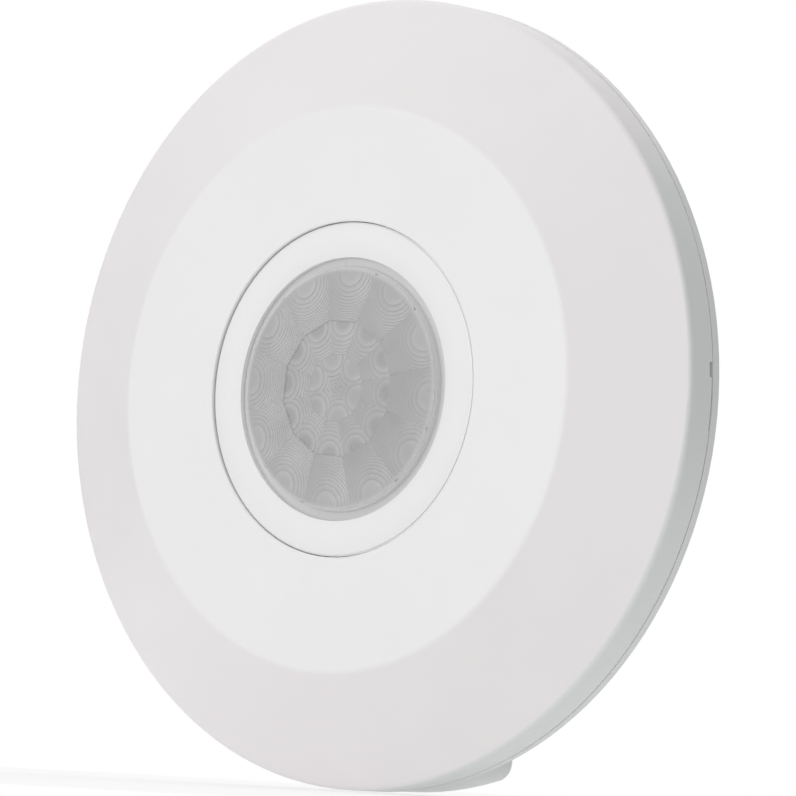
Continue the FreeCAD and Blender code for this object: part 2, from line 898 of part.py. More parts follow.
def make_lens_bezel():
    """Crowned ring round the lens, hooked through the housing, that holds the lens down."""
    body = add_body("lens_bezel")
    ring = S.ring_diameter / 2
    aperture = S.aperture_diameter / 2
    revolve(
        body,
        "ring",
        [
            (aperture, S.ring_underside),
            (S.ring_skirt_inside, S.ring_underside),
            (S.ring_skirt_inside, S.ring_foot),
            (ring, S.ring_foot),
            (ring, S.ring_edge, S.ring_crown_radius),
            (aperture, S.ring_aperture_edge),
        ],
    )
    leg = add_sketch(body, "hook_leg_plan", offset=S.ring_foot)
    half = S.hook_half_width
    draw_rectangle(leg, S.hook_inside, -half, S.hook_outside, half)
    first_leg = pad(body, "hook_leg", leg, S.hook_depth, backwards=True)
    toe = add_sketch(body, "hook_toe_plan", offset=S.ring_foot - S.hook_depth)
    draw_rectangle(toe, S.hook_outside - 0.2, -half, S.hook_outside + S.hook_toe, half)
    first_toe = pad(body, "hook_toe_pad", toe, S.hook_toe_depth)
    round_pattern(body, "hooks", [first_leg, first_toe], 3)
    return stand(body, "lens_bezel")


def make_fresnel_lens():
    """Milky dome with a steep shoulder and a flange that the ring holds down on its seat."""
    body = add_body("fresnel_lens")
    wall = S.lens_wall
    dome = S.lens_dome_radius
    inner_dome = dome - wall
    inner_shoulder = S.lens_shoulder_radius - wall * 0.8
    revolve(
        body,
        "dome",
        [
            (0, S.lens_top - wall, -inner_dome),
            (inner_shoulder, S.lens_top - dome + sphere_height(inner_dome, inner_shoulder)),
            (S.lens_foot_radius - wall, S.lens_foot_height - 0.2),
            (S.lens_foot_radius - wall, S.lens_flange_bottom),
            (S.lens_flange_radius, S.lens_flange_bottom),
            (S.lens_flange_radius, S.lens_flange_top),
            (S.lens_foot_radius, S.lens_flange_top),
            (S.lens_foot_radius, S.lens_foot_height, S.lens_shoulder_rounding),
            (S.lens_shoulder_radius, S.lens_top - dome + sphere_height(dome, S.lens_shoulder_radius), dome),
            (0, S.lens_top),
        ],
    )
    return stand(body, "fresnel_lens")


# ---------------------------------------------------------------- board and what stands on it


def make_main_board():
    """Round circuit board with a notch for the wires and holes for the screws."""
    body = add_body("main_board")
    outline = add_sketch(body, "board_circle")
    draw_circle(outline, 0, 0, S.board_diameter / 2)
    pad(body, "board", outline, S.board_thickness)
    notch = add_sketch(body, "board_notch_plan", offset=S.board_thickness)
    half = S.board_notch_width / 2
    draw_rectangle(notch, -half, -(S.board_diameter / 2 + 1), half, -S.board_notch_edge)
    pocket(body, "board_notch", notch, S.board_thickness)
    holes = add_sketch(body, "board_hole_circles", offset=S.board_thickness)
    for side, rise in QUARTERS:
        draw_circle(holes, S.post_offset * side, S.post_offset * rise, S.screw_clearance_hole / 2)
    for side in (1, -1):
        draw_circle(holes, S.board_screw_offset * side, 0, S.board_screw_hole / 2)
    pocket(body, "board_holes", holes, S.board_thickness)
    return stand(body, "main_board", z=S.board_bottom)


def stand_on_board(thing, label, x=0, y=0, turn=0):
    return stand(thing, label, x, y, board_top(), turn)


def make_detector():
    """Pyroelectric detector in a metal can, its window, and the spacer that lifts it."""
    top = S.spacer_height
    leads = []
    holes = []
    for angle in (45, 225, 315):
        x = S.lead_circle * math.cos(math.radians(angle))
        y = S.lead_circle * math.sin(math.radians(angle))
        leads.append(cylinder("detector_lead", S.can_lead_radius, S.spacer_height + S.lead_depth, (x, y, 0)))
        holes.append(cylinder("spacer_hole", S.spacer_hole_radius, S.spacer_height, (x, y, 0)))
    spacer = cut("spacer", cylinder("spacer_disc", S.spacer_diameter / 2, top), holes)
    stand_on_board(spacer, "sensor_spacer", turn=15)
    flange = cylinder("can_flange", S.can_flange_diameter / 2, S.can_flange_height, (0, 0, top))
    can = cylinder("can_wall", S.can_diameter / 2, S.can_height, (0, 0, top))
    can = soften("can_soft", can, number(S.can_rounding), above(number(top + S.can_height) - 0.1))
    recess_floor = top + S.can_height - S.window_recess
    recess_size = (S.window_length, S.window_width, S.window_recess)
    recess = block("window_recess_block", *recess_size, (0, 0, recess_floor))
    detector = cut("detector", fuse("detector_metal", [flange, can, *leads]), [recess])
    stand_on_board(detector, "pir_sensor", turn=15)
    window_size = (S.window_length - S.window_slack, S.window_width - S.window_slack, S.window_recess)
    window = block("filter_window", *window_size, (0, 0, recess_floor))
    stand_on_board(group("filter_window_set", [window]), "sensor_window", turn=15)


def make_light_parts():
    """A photocell and an indicator lamp on wire legs beside the detector."""
    cell = [cylinder("cell_disc", S.cell_radius, S.cell_thickness, (0, 0, S.cell_lift))]
    for side in (1, -1):
        foot = (S.cell_lead_offset * side, 0, 0)
        cell.append(cylinder("cell_lead", S.lead_radius, S.cell_lift + S.lead_depth, foot))
    stand_on_board(fuse("cell", cell), "photocell", -9.6, -6.6, 35)
    dome_centre = (0, 0, S.lamp_lift + S.lamp_barrel_height)
    lamp = [
        cylinder("lamp_rim", S.lamp_rim_radius, S.lamp_rim_height, (0, 0, S.lamp_lift)),
        cylinder("lamp_body", S.lamp_radius, S.lamp_barrel_height, (0, 0, S.lamp_lift)),
        primitive("Sphere", "lamp_dome", dome_centre, Radius=S.lamp_radius),
    ]
    for side in (1, -1):
        foot = (S.half_lead_pitch * side, 0, 0)
        lamp.append(cylinder("lamp_lead", S.lead_radius, S.lamp_lift + S.lead_depth, foot))
    stand_on_board(fuse("lamp", lamp), "indicator_led", 9.6, -6.6, -35)


def make_trimmers_and_knobs():
    """Three trimmers on the board, each with a long knob that ends flush in the housing."""
    well_floor = S.trimmer_well_floor
    foot_bottom = well_floor + 0.05
    knob_top = S.housing_top - 0.1 - board_top()
    side = S.trimmer_side
    for name, x, y, turn in knob_places():
        case = block(f"{name}_case", side, side, S.trimmer_height)
        well = cylinder(f"{name}_well", S.trimmer_well_diameter / 2, S.trimmer_height, (0, 0, well_floor))
        stand_on_board(cut(f"{name}_pot", case, [well]), f"{name}_trimmer", x, y, turn)
        head_bottom = knob_top - S.knob_head_height
        foot_height = S.trimmer_height - well_floor - 0.5
        stem_height = knob_top - foot_bottom
        solids = [
            cylinder(f"{name}_foot", S.knob_foot_diameter / 2, foot_height, (0, 0, foot_bottom)),
            cylinder(f"{name}_stem", S.knob_stem_diameter / 2, stem_height, (0, 0, foot_bottom)),
            cylinder(f"{name}_head", S.knob_head_diameter / 2, S.knob_head_height, (0, 0, head_bottom)),
        ]
        slot_floor = knob_top - S.knob_slot_depth
        slot = block(f"{name}_slot", S.knob_slot_width, 4.6, S.knob_slot_depth, (0, 0, slot_floor))
        tip = primitive(
            "Wedge",
            f"{name}_pointer",
            (0, 1.1, slot_floor),
            Xmin=-1.3,
            Xmax=1.3,
            X2min=0,
            X2max=0,
            Ymin=0,
            Ymax=1.7,
            Zmin=0,
            Zmax=2,
            Z2min=0,
            Z2max=2,
        )
        knob = cut(f"{name}_knob_cut", fuse(f"{name}_knob_solid", solids), [slot, tip])
        stand_on_board(knob, f"{name}_knob", x, y, turn)


def make_relay():
    case = block("relay_case", S.relay_length, S.relay_width, S.relay_height, (0, 0, S.relay_lift))
    stand_on_board(soften("relay_soft", case, 0.5, above(0.5)), "relay", -30.4, 0, 90)


def make_film_capacitor():
    case = block("film_case", S.film_length, S.film_width, S.film_height)
    stand_on_board(soften("film_soft", case, 0.6, above(0.5)), "film_capacitor", 28.7, 0, 90)


def electrolytic(name, radius, height, x=0, y=0):
    """A can with a rolled groove above its rubber plug and a rounded shoulder."""
    can = cylinder(f"{name}_can", radius, height, (x, y, 0))
    soft = soften(f"{name}_soft", can, number(S.can_rounding), above(number(height) - 0.1))
    ring = {"Radius1": radius + 0.15, "Radius2": S.can_groove_radius}
    groove = primitive("Torus", f"{name}_groove", (x, y, S.can_groove_height), **ring)
    return cut(f"{name}_part", soft, [groove])


def make_electrolytics():
    filter_can = electrolytic("filter", S.filter_can_radius, S.filter_can_height)
    stand_on_board(filter_can, "filter_capacitor", -24.5, -17.5)
    small = []
    for index, (x, y) in enumerate(((22.5, 20.5), (33.5, 19.5), (-34.5, -15.5))):
        small.append(electrolytic(f"small_{index}", S.small_can_radius, S.small_can_height, x, y))
    stand_on_board(group("small_cans", small), "small_capacitors")


def make_varistor():
    """A coated disc standing on edge on two legs."""
    back = (-S.varistor_thickness / 2, 0, S.varistor_centre_height)
    disc = cylinder("varistor_disc", S.varistor_radius, S.varistor_thickness, back, ALONG_X)
    disc = soften("varistor_soft", disc, 0.9, lambda edge: True)
    solids = [disc]
    for side in (1, -1):
        foot = (S.varistor_lead_across * side, S.varistor_lead_along * side, 0)
        height = S.varistor_centre_height - S.varistor_radius + 2
        solids.append(cylinder("varistor_lead", S.thick_lead_radius, height, foot))
    stand_on_board(fuse("varistor_part", solids), "varistor", 34.4, 0)


def make_fuse():
    can = cylinder("fuse_can", S.fuse_radius, S.fuse_height, (0, 0, S.fuse_lift))
    top = number(S.fuse_lift + S.fuse_height)
    solids = [soften("fuse_soft", can, number(S.can_rounding), above(top - 0.1))]
    for side in (1, -1):
        foot = (S.half_lead_pitch * 2 * side, 0, 0)
        solids.append(cylinder("fuse_lead", S.thick_lead_radius, S.fuse_lift + S.lead_depth, foot))
    stand_on_board(fuse("fuse_part", solids), "fuse", 22.5, -18.5, 30)


def axial(name, radius, length, span, wire, x=0, y=0):
    """A lying body on a wire that bends down to the board at both ends."""
    rise = radius + S.axial_lift
    solids = [
        cylinder(f"{name}_body", radius, length, (x - length / 2, y, rise), ALONG_X),
        cylinder(f"{name}_wire", wire, span, (x - span / 2, y, rise), ALONG_X),
    ]
    for side in (1, -1):
        end = x + side * span / 2
        solids.append(cylinder(f"{name}_leg", wire, rise, (end, y, 0)))
        solids.append(primitive("Sphere", f"{name}_bend", (end, y, rise), Radius=wire))
    return fuse(f"{name}_part", solids)


def make_axial_parts():
    resistor = axial("series", S.series_radius, S.series_length, S.series_span, S.thick_lead_radius)
    stand_on_board(resistor, "series_resistor", 33.8, -13.7, 68)
    diodes = []
    for row in range(4):
        sizes = (S.diode_radius, S.diode_length, S.diode_span, S.diode_wire)
        place = (S.diode_row_x, S.diode_first_y + S.diode_spacing * row)
        diodes.append(axial(f"diode_{row}", *sizes, *place))
    stand_on_board(group("diode_row", diodes), "rectifier_diodes")


def make_control_chip():
    """A sixteen-leg surface-mount package."""
    width = S.chip_leg_width
    thickness = S.chip_leg_thickness
    run = S.chip_leg_run
    arm_height = S.chip_leg_rise - thickness
    legs = []
    for index in range(8):
        x = (index - 3.5) * S.chip_pitch
        for side in (1, -1):
            arm = (x, (S.chip_width / 2 + 0.15) * side, arm_height)
            riser = (x, (S.chip_width / 2 + 0.45) * side, 0)
            foot = (x, (S.chip_width / 2 + 0.8) * side, 0)
            legs.append(block("chip_leg_foot", width, run, thickness, foot))
            legs.append(block("chip_leg_riser", width, thickness, S.chip_leg_rise, riser))
            legs.append(block("chip_leg_arm", width, run, thickness, arm))
    package = block("chip_package", S.chip_length, S.chip_width, S.chip_height, (0, 0, S.chip_lift))
    dimple = cylinder("chip_dimple", 0.45, 0.2, (-4.1, -1.1, S.chip_height))
    chip = cut("chip", fuse("chip_solid", [package, *legs]), [dimple])
    stand_on_board(chip, "control_chip", 0, 23.6)


def small_transistor(name):
    """A moulded half-round package with a flat face on three legs."""
    leg_height = S.package_leg_height
    barrel = cylinder(f"{name}_barrel", S.package_radius, S.package_height, (0, 0, leg_height))
    flat_width = 2
    flat_place = (0, -S.package_flat_offset - flat_width / 2, leg_height - 0.1)
    flat = block(f"{name}_flat", S.package_radius * 3, flat_width, S.package_height + 0.3, flat_place)
    package = cut(f"{name}_package", barrel, [flat])
    legs = []
    for side in (-1, 0, 1):
        foot = (S.half_lead_pitch * side, 0, 0)
        legs.append(cylinder(f"{name}_leg", S.lead_radius, leg_height + S.lead_depth, foot))
    return fuse(f"{name}_part", [package, *legs])


def make_transistors():
    stand_on_board(small_transistor("driver"), "driver_transistor", 24.5, 13.5, 20)
    stand_on_board(small_transistor("regulator"), "voltage_regulator", 32.0, 12.8, -15)


def chip_row(name, label, height, angles):
    """Tiny two-ended parts on an arc just outside the shroud."""
    arc_radius = number(S.tiny_arc_radius)
    solids = []
    for angle in angles:
        turn = math.radians(angle)
        chip = block(f"{name}_{angle}", S.tiny_length, S.tiny_width, height)
        place = FreeCAD.Vector(arc_radius * math.cos(turn), arc_radius * math.sin(turn), 0)
        spun = FreeCAD.Rotation(UP, angle + 90)
        holder = group(f"{name}_{angle}_turned", [chip])
        holder.Placement = FreeCAD.Placement(place, spun)
        solids.append(holder)
    stand_on_board(group(f"{name}_row", solids), label)


def make_chip_parts():
    chip_row("resistor_chip", "chip_resistors", 0.55, range(192, 270, 9))
    chip_row("capacitor_chip", "chip_capacitors", 0.95, range(275, 345, 11))


def make_terminal_block():
    """Three-way block: wires enter from the lobe side, and the screws face forwards."""
    body = add_body("terminal_block")
    half = S.terminal_length / 2
    depth = S.terminal_depth / 2
    plan = add_sketch(body, "terminal_plan")
    draw_rectangle(plan, -half, -depth, half, depth)
    pad(body, "terminal_case", plan, S.terminal_height)
    mouths = add_sketch(body, "terminal_mouth_plan", "XZ_Plane", depth)
    wells = add_sketch(body, "terminal_well_circles", offset=S.terminal_height)
    for index in (-1, 0, 1):
        x = S.terminal_pitch * index
        reach = S.terminal_mouth_width / 2
        top = S.terminal_mouth_bottom + S.terminal_mouth_height
        draw_rectangle(mouths, x - reach, S.terminal_mouth_bottom, x + reach, top)
        draw_circle(wells, x, 0.4, S.terminal_well_diameter / 2)
    pocket(body, "terminal_mouths", mouths, S.terminal_mouth_depth)
    well_depth = S.terminal_height - S.terminal_mouth_bottom - S.terminal_mouth_height
    pocket(body, "terminal_wells", wells, well_depth + 0.2)
    stand_on_board(body, "terminal_block", 0, -S.terminal_centre)


def make_terminal_metal():
    """A clamp cage in each mouth and a slotted screw above it."""
    cages = []
    screws = []
    cage_bottom = S.terminal_mouth_bottom + 0.1
    cage_height = S.terminal_mouth_height - 0.5
    screw_bottom = cage_bottom + cage_height - 0.9
    for index in (-1, 0, 1):
        x = S.terminal_pitch * index
        cage = block("cage_block", 4.8, 5.6, cage_height, (x, 0.4, cage_bottom))
        hole = block("cage_hole", 3.4, 6.0, 3.0, (x, 0.4, cage_bottom + 0.6))
        thread = cylinder("cage_thread", 1.3, 2.0, (x, 0.4, screw_bottom - 0.5))
        cages.append(cut("cage", cage, [hole, thread]))
        shank = cylinder("terminal_shank", 1.25, 4.4, (x, 0.4, screw_bottom))
        head = cylinder("terminal_head", 2.1, 1.6, (x, 0.4, screw_bottom + 2.8))
        slot = block("terminal_slot", 4.4, 0.7, 0.9, (x, 0.4, screw_bottom + 3.7))
        screws.append(cut("terminal_screw", fuse("terminal_screw_solid", [shank, head]), [slot]))
    stand_on_board(group("cages", cages), "terminal_clamps", 0, -S.terminal_centre)
    stand_on_board(group("clamp_screws", screws), "terminal_screws", 0, -S.terminal_centre)


# ---------------------------------------------------------------- screws


def cross_screw(name, x, y, seat, diameters, lengths, towards):
    """A pan-head screw with a cross recess. towards is +1 where the head faces forwards."""
    shank_diameter, head_diameter = diameters
    shank_length, head_height = lengths
    down = UP * -towards
    head_axis = UP * towards
    recess = 1.2
    reach = head_diameter * 0.3
    recess_floor = seat + (head_height - recess) * towards
    low = recess_floor if towards > 0 else recess_floor - recess
    shank = cylinder(f"{name}_shank", shank_diameter / 2, shank_length, (x, y, seat), down)
    head = cylinder(f"{name}_head", head_diameter / 2, head_height, (x, y, seat), head_axis)
    arms = [
        block(f"{name}_arm", reach * 2, 0.8, recess, (x, y, low)),
        block(f"{name}_arm", 0.8, reach * 2, recess, (x, y, low)),
    ]
    return cut(f"{name}_screw", fuse(f"{name}_solid", [shank, head]), arms)


def make_housing_screws():
    diameters = (S.housing_screw_diameter, S.housing_screw_head_diameter)
    lengths = (S.housing_screw_length, S.housing_screw_head_height)
    screws = []
    for side, rise in QUARTERS:
        place = (S.post_offset * side, S.post_offset * rise)
        screws.append(cross_screw("housing", *place, S.screw_seat, diameters, lengths, 1))
    stand(group("housing_screw_set", screws), "housing_screws")


def make_board_screws():
    diameters = (S.board_screw_diameter, S.board_screw_head_diameter)
    lengths = (S.board_screw_length, S.board_screw_head_height)
    screws = []
    for side in (1, -1):
        x = S.board_screw_offset * side
        screws.append(cross_screw("board", x, 0, S.board_bottom, diameters, lengths, -1))
    stand(group("board_screw_set", screws), "board_screws")


# ---------------------------------------------------------------- checks and files


def check_cuts():
    """Every pocket has to take something away from the solid before it."""
    for thing in document.Objects:
        if thing.TypeId == "PartDesign::Pocket" and thing.BaseFeature:
            if thing.Shape.Volume > thing.BaseFeature.Shape.Volume - 0.01:
                raise RuntimeError(f"{thing.Name} cuts nothing")


def check_states():
    for thing in document.Objects:
        if "Invalid" in thing.State or "Error" in thing.State:
            raise RuntimeError(f"{thing.Name} failed: {thing.State}")
    for node in nodes:
        if node.Shape.isNull() or not node.Shape.isValid():
            raise RuntimeError(f"{node.Label} has no valid shape")


def write_parts():
    os.makedirs("parts", exist_ok=True)
    for node in nodes:
        node.Shape.exportStep(os.path.join("parts", f"{node.Label}.step"))
        box = node.Shape.BoundBox
        print(f"{node.Label}: {len(node.Shape.Solids)} solid(s), {node.Shape.Volume:.0f} mm3, "
              f"Y {box.YMin:.2f} to {box.YMax:.2f}")


def main():
    fill_spreadsheet()
    make_rear_base()
    make_cable_grommet()
    make_front_cover()
    make_inner_housing()
    make_lens_bezel()
    make_fresnel_lens()
    make_main_board()
    make_detector()
    make_light_parts()
    make_trimmers_and_knobs()
    make_relay()
    make_film_capacitor()
    make_electrolytics()
    make_varistor()
    make_fuse()
    make_axial_parts()
    make_control_chip()
    make_transistors()
    make_chip_parts()
    make_terminal_block()
    make_terminal_metal()
    make_housing_screws()
    make_board_screws()
    document.recompute()
    check_states()
    check_cuts()
    write_parts()


main()
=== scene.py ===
import math

import bpy
import numpy as np
from mathutils import Matrix, Vector


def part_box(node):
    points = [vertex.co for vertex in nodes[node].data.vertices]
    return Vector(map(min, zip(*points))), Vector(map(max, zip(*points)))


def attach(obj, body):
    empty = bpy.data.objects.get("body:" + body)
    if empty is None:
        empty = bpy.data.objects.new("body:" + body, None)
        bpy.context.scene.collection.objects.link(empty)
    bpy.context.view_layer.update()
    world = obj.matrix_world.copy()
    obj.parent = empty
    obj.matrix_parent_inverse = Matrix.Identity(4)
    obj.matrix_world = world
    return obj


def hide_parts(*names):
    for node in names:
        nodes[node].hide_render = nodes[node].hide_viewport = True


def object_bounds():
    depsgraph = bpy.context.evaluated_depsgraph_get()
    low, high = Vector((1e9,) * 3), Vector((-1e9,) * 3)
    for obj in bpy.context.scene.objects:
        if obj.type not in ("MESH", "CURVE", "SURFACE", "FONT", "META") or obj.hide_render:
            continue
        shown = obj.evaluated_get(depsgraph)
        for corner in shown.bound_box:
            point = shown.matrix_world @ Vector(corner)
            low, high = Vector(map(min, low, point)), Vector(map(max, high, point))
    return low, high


# Looks for the round motion sensor. Everything is in metres in the row frame: the mounting
# face is the plane Y = 0, the sensor faces -Y and Z is up.

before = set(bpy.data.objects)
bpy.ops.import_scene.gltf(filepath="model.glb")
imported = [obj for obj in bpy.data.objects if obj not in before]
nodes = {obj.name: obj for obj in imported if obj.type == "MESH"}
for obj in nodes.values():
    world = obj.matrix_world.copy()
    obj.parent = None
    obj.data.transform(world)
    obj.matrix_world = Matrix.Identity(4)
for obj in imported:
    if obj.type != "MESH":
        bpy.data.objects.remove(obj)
cad_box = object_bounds()

MM = 0.001

# The camera: where it stands, where it looks and how long its lens is.
CAMERA_PLACE = Vector((0.5270, -0.6567, -0.0571))
CAMERA_FORWARD = Vector((-0.62982, 0.77376, 0.06803))
CAMERA_UP = Vector((0.0, -0.08759, 0.99616))
CAMERA_LENS_MM = 248.74
CAMERA_SENSOR_MM = 36.0

# The room: a dim white tent with soft boxes in it. Each box has the direction it stands in,
# the cosine of the angle at which it has faded out, and its strength.
TENT_LIGHT = 0.04
SOFT_BOXES = (
    ((0.0, -1.0, 0.0), 0.5, 1.43),
    ((0.0, 0.0, 1.0), 0.2, 0.85),
    ((-0.707, 0.0, 0.707), 0.3, 0.58),
    ((0.0, 1.0, 0.0), 0.35, 0.75),
)
FLOOR_GAP = 0.2 * MM
FLOOR_RADIUS = 0.30
FLOOR_GLOW = 0.42


# ---------------------------------------------------------------- room and camera


def make_camera():
    data = bpy.data.cameras.new("camera")
    data.lens = CAMERA_LENS_MM
    data.sensor_width = CAMERA_SENSOR_MM
    data.clip_start = 0.05
    data.clip_end = 20.0
    camera = bpy.data.objects.new("camera", data)
    bpy.context.scene.collection.objects.link(camera)
    back = -CAMERA_FORWARD.normalized()
    right = CAMERA_UP.cross(back).normalized()
    up = back.cross(right)
    turn = Matrix((right, up, back)).transposed()
    camera.matrix_world = Matrix.Translation(CAMERA_PLACE) @ turn.to_4x4()
    bpy.context.scene.camera = camera


def make_room():
    """A white room lit by soft boxes, seen by the camera as plain white."""
    world = bpy.data.worlds.new("soft_studio")
    bpy.context.scene.world = world
    world.use_nodes = True
    tree = world.node_tree
    tree.nodes.clear()
    light = TENT_LIGHT
    for direction, faded, strength in SOFT_BOXES:
        towards = tree.nodes.new("ShaderNodeVectorMath")
        towards.operation = "DOT_PRODUCT"
        put(tree, towards.inputs[0], tree.nodes.new("ShaderNodeTexCoord").outputs["Generated"])
        towards.inputs[1].default_value = direction
        glow = spread(tree, towards.outputs["Value"], 0.0, strength, faded, 1.0, smooth=True)
        light = maths(tree, "ADD", glow, light)
    lit = background(tree, light)
    seen = background(tree, 1.0)
    chooser = tree.nodes.new("ShaderNodeMixShader")
    put(tree, chooser.inputs[0], tree.nodes.new("ShaderNodeLightPath").outputs["Is Camera Ray"])
    put(tree, chooser.inputs[1], lit)
    put(tree, chooser.inputs[2], seen)
    output = tree.nodes.new("ShaderNodeOutputWorld")
    put(tree, output.inputs["Surface"], chooser.outputs[0])
    bpy.context.scene.view_settings.view_transform = "Standard"


def background(tree, strength):
    node = tree.nodes.new("ShaderNodeBackground")
    node.inputs["Color"].default_value = (1.0, 1.0, 1.0, 1.0)
    put(tree, node.inputs["Strength"], strength)
    return node.outputs[0]


def make_floor():
    low = cad_box[0].z - FLOOR_GAP
    steps = 96
    middle_y = (cad_box[0].y + cad_box[1].y) / 2
    ring = [
        (
            FLOOR_RADIUS * math.cos(2 * math.pi * step / steps),
            middle_y + FLOOR_RADIUS * math.sin(2 * math.pi * step / steps),
            low,
        )
        for step in range(steps)
    ]
    floor = new_piece("floor", ring, [tuple(range(steps))])
    floor.data.materials.append(paper("floor_paper"))


# ---------------------------------------------------------------- shader nodes


def put(tree, socket, value):
    """Links an output to a socket, or sets the socket to a number or colour."""
    if isinstance(value, bpy.types.NodeSocket):
        tree.links.new(value, socket)
    elif isinstance(value, tuple) and len(value) == 3 and socket.type == "RGBA":
        socket.default_value = (*value, 1.0)
    else:
        socket.default_value = value


def maths(tree, operation, first, second=0.0, clamp=False):
    node = tree.nodes.new("ShaderNodeMath")
    node.operation = operation
    node.use_clamp = clamp
    put(tree, node.inputs[0], first)
    put(tree, node.inputs[1], second)
    return node.outputs[0]


def spread(tree, value, low, high, start=0.0, end=1.0, smooth=False):
    """Maps start..end to low..high, held at both ends."""
    node = tree.nodes.new("ShaderNodeMapRange")
    node.interpolation_type = "SMOOTHSTEP" if smooth else "LINEAR"
    put(tree, node.inputs["Value"], value)
    node.inputs["From Min"].default_value = start
    node.inputs["From Max"].default_value = end
    put(tree, node.inputs["To Min"], low)
    put(tree, node.inputs["To Max"], high)
    return node.outputs[0]


def blend_colours(tree, amount, first, second):
    node = tree.nodes.new("ShaderNodeMix")
    node.data_type = "RGBA"
    put(tree, node.inputs[0], amount)
    put(tree, node.inputs[6], first)
    put(tree, node.inputs[7], second)
    return node.outputs[2]


def place(tree):
    """The point's place on its own sub-part, which stays with the sub-part when it moves."""
    return tree.nodes.new("ShaderNodeTexCoord").outputs["Object"]


def facing(tree):
    """How far the surface faces each axis, as X, Y and Z outputs."""
    node = tree.nodes.new("ShaderNodeSeparateXYZ")
    put(tree, node.inputs[0], tree.nodes.new("ShaderNodeTexCoord").outputs["Normal"])
    return node.outputs


def split(tree, vector):
    node = tree.nodes.new("ShaderNodeSeparateXYZ")
    put(tree, node.inputs[0], vector)
    return node.outputs


def stretched(tree, scale, vector=None):
    """The point's place with each axis scaled, for a texture that runs one way."""
    node = tree.nodes.new("ShaderNodeMapping")
    put(tree, node.inputs["Vector"], vector or place(tree))
    node.inputs["Scale"].default_value = scale
    return node.outputs[0]


def noise(tree, size, detail=3.0, roughness=0.55, vector=None):
    """Noise whose lumps are about this size, in metres."""
    node = tree.nodes.new("ShaderNodeTexNoise")
    put(tree, node.inputs["Vector"], vector or place(tree))
    node.inputs["Scale"].default_value = 1.0 / size
    node.inputs["Detail"].default_value = detail
    node.inputs["Roughness"].default_value = roughness
    return node.outputs["Fac"]


def cells(tree, size, feature="F1", vector=None):
    """Distance to the nearest point of a scatter about this far apart, in metres."""
    node = tree.nodes.new("ShaderNodeTexVoronoi")
    node.feature = feature
    put(tree, node.inputs["Vector"], vector or place(tree))
    node.inputs["Scale"].default_value = 1.0 / size
    return node.outputs["Distance"]


def relief(tree, height, depth, below=None):
    """Bump of this depth in metres from a height of 0 to 1."""
    node = tree.nodes.new("ShaderNodeBump")
    node.inputs["Strength"].default_value = 1.0
    node.inputs["Distance"].default_value = depth
    put(tree, node.inputs["Height"], height)
    if below is not None:
        put(tree, node.inputs["Normal"], below)
    return node.outputs[0]


def distance_from(tree, x, z):
    """Distance of the point from the line along Y through this X and Z."""
    axes = split(tree, place(tree))
    across = maths(tree, "SUBTRACT", axes[0], x)
    rise = maths(tree, "SUBTRACT", axes[2], z)
    node = maths(tree, "ADD", maths(tree, "MULTIPLY", across, across), maths(tree, "MULTIPLY", rise, rise))
    return maths(tree, "SQRT", node)


def middle(node_name):
    low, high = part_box(node_name)
    return (low + high) / 2


def material(name, colour, roughness, normal=None, **settings):
    """A Principled material. The colour, roughness and normal come from build(tree) functions
    or plain values; settings are the shader's other sockets by name, with _ for a space."""
    made = bpy.data.materials.new(name)
    made.use_nodes = True
    tree = made.node_tree
    shader = tree.nodes["Principled BSDF"]
    put(tree, shader.inputs["Base Color"], colour(tree) if callable(colour) else colour)
    put(tree, shader.inputs["Roughness"], roughness(tree) if callable(roughness) else roughness)
    if normal is not None:
        put(tree, shader.inputs["Normal"], normal(tree))
    for name_with_bars, value in settings.items():
        put(tree, shader.inputs[name_with_bars.replace("_", " ").title().replace("Ior", "IOR")], value)
    return made


# ---------------------------------------------------------------- families of material


def shade(colour, factor):
    return tuple(min(1.0, channel * factor) for channel in colour)


def mottled(colour, contrast, size):
    """A colour that drifts a little lighter and darker over lumps of this size."""
    return lambda tree: blend_colours(
        tree,
        spread(tree, noise(tree, size), 0.0, 1.0, 0.35, 0.65),
        shade(colour, 1.0 - contrast),
        shade(colour, 1.0 + contrast),
    )


def uneven(roughness, contrast, size):
    return lambda tree: spread(
        tree, noise(tree, size), roughness - contrast, roughness + contrast, 0.35, 0.65
    )


def moulded(name, colour, roughness=0.4, contrast=0.012, grain=0.3 * MM, depth=0.006 * MM, **settings):
    """Injection-moulded plastic: a fine spark-eroded grain over very slight sink and flow."""

    def surface(tree):
        sink = relief(tree, noise(tree, 9 * MM, 1.0), 0.03 * MM)
        return relief(tree, noise(tree, grain, 2.0), depth, below=sink)

    tint = mottled(colour, contrast, 14 * MM)
    return material(name, tint, uneven(roughness, 0.05, 3 * MM), surface, **settings)


def plated(name, colour, roughness=0.3, scratch=0.15 * MM):
    """Plated steel with fine scratches, duller in patches."""

    def surface(tree):
        return relief(tree, noise(tree, scratch, 4.0, vector=stretched(tree, (1.0, 0.2, 1.0))), 0.01 * MM)

    return material(
        name, mottled(colour, 0.08, 1.5 * MM), uneven(roughness, 0.1, 0.7 * MM), surface, metallic=1.0
    )


def dipped(name, colour, roughness=0.25, contrast=0.07):
    """A component dipped in resin: a lumpy glossy skin."""

    def surface(tree):
        return relief(tree, noise(tree, 1.8 * MM, 2.0), 0.12 * MM)

    return material(name, mottled(colour, contrast, 1.2 * MM), uneven(roughness, 0.08, 1 * MM), surface)


def paper(name):
    """The floor: pale matt paper with a faint tooth, lit from below like a light table."""

    def surface(tree):
        return relief(tree, noise(tree, 0.6 * MM, 3.0), 0.02 * MM)

    made = material(name, mottled((0.5, 0.5, 0.5), 0.01, 60 * MM), 0.85, surface)
    shader = made.node_tree.nodes["Principled BSDF"]
    shader.inputs["Emission Color"].default_value = (1.0, 1.0, 1.0, 1.0)
    shader.inputs["Emission Strength"].default_value = FLOOR_GLOW
    return made


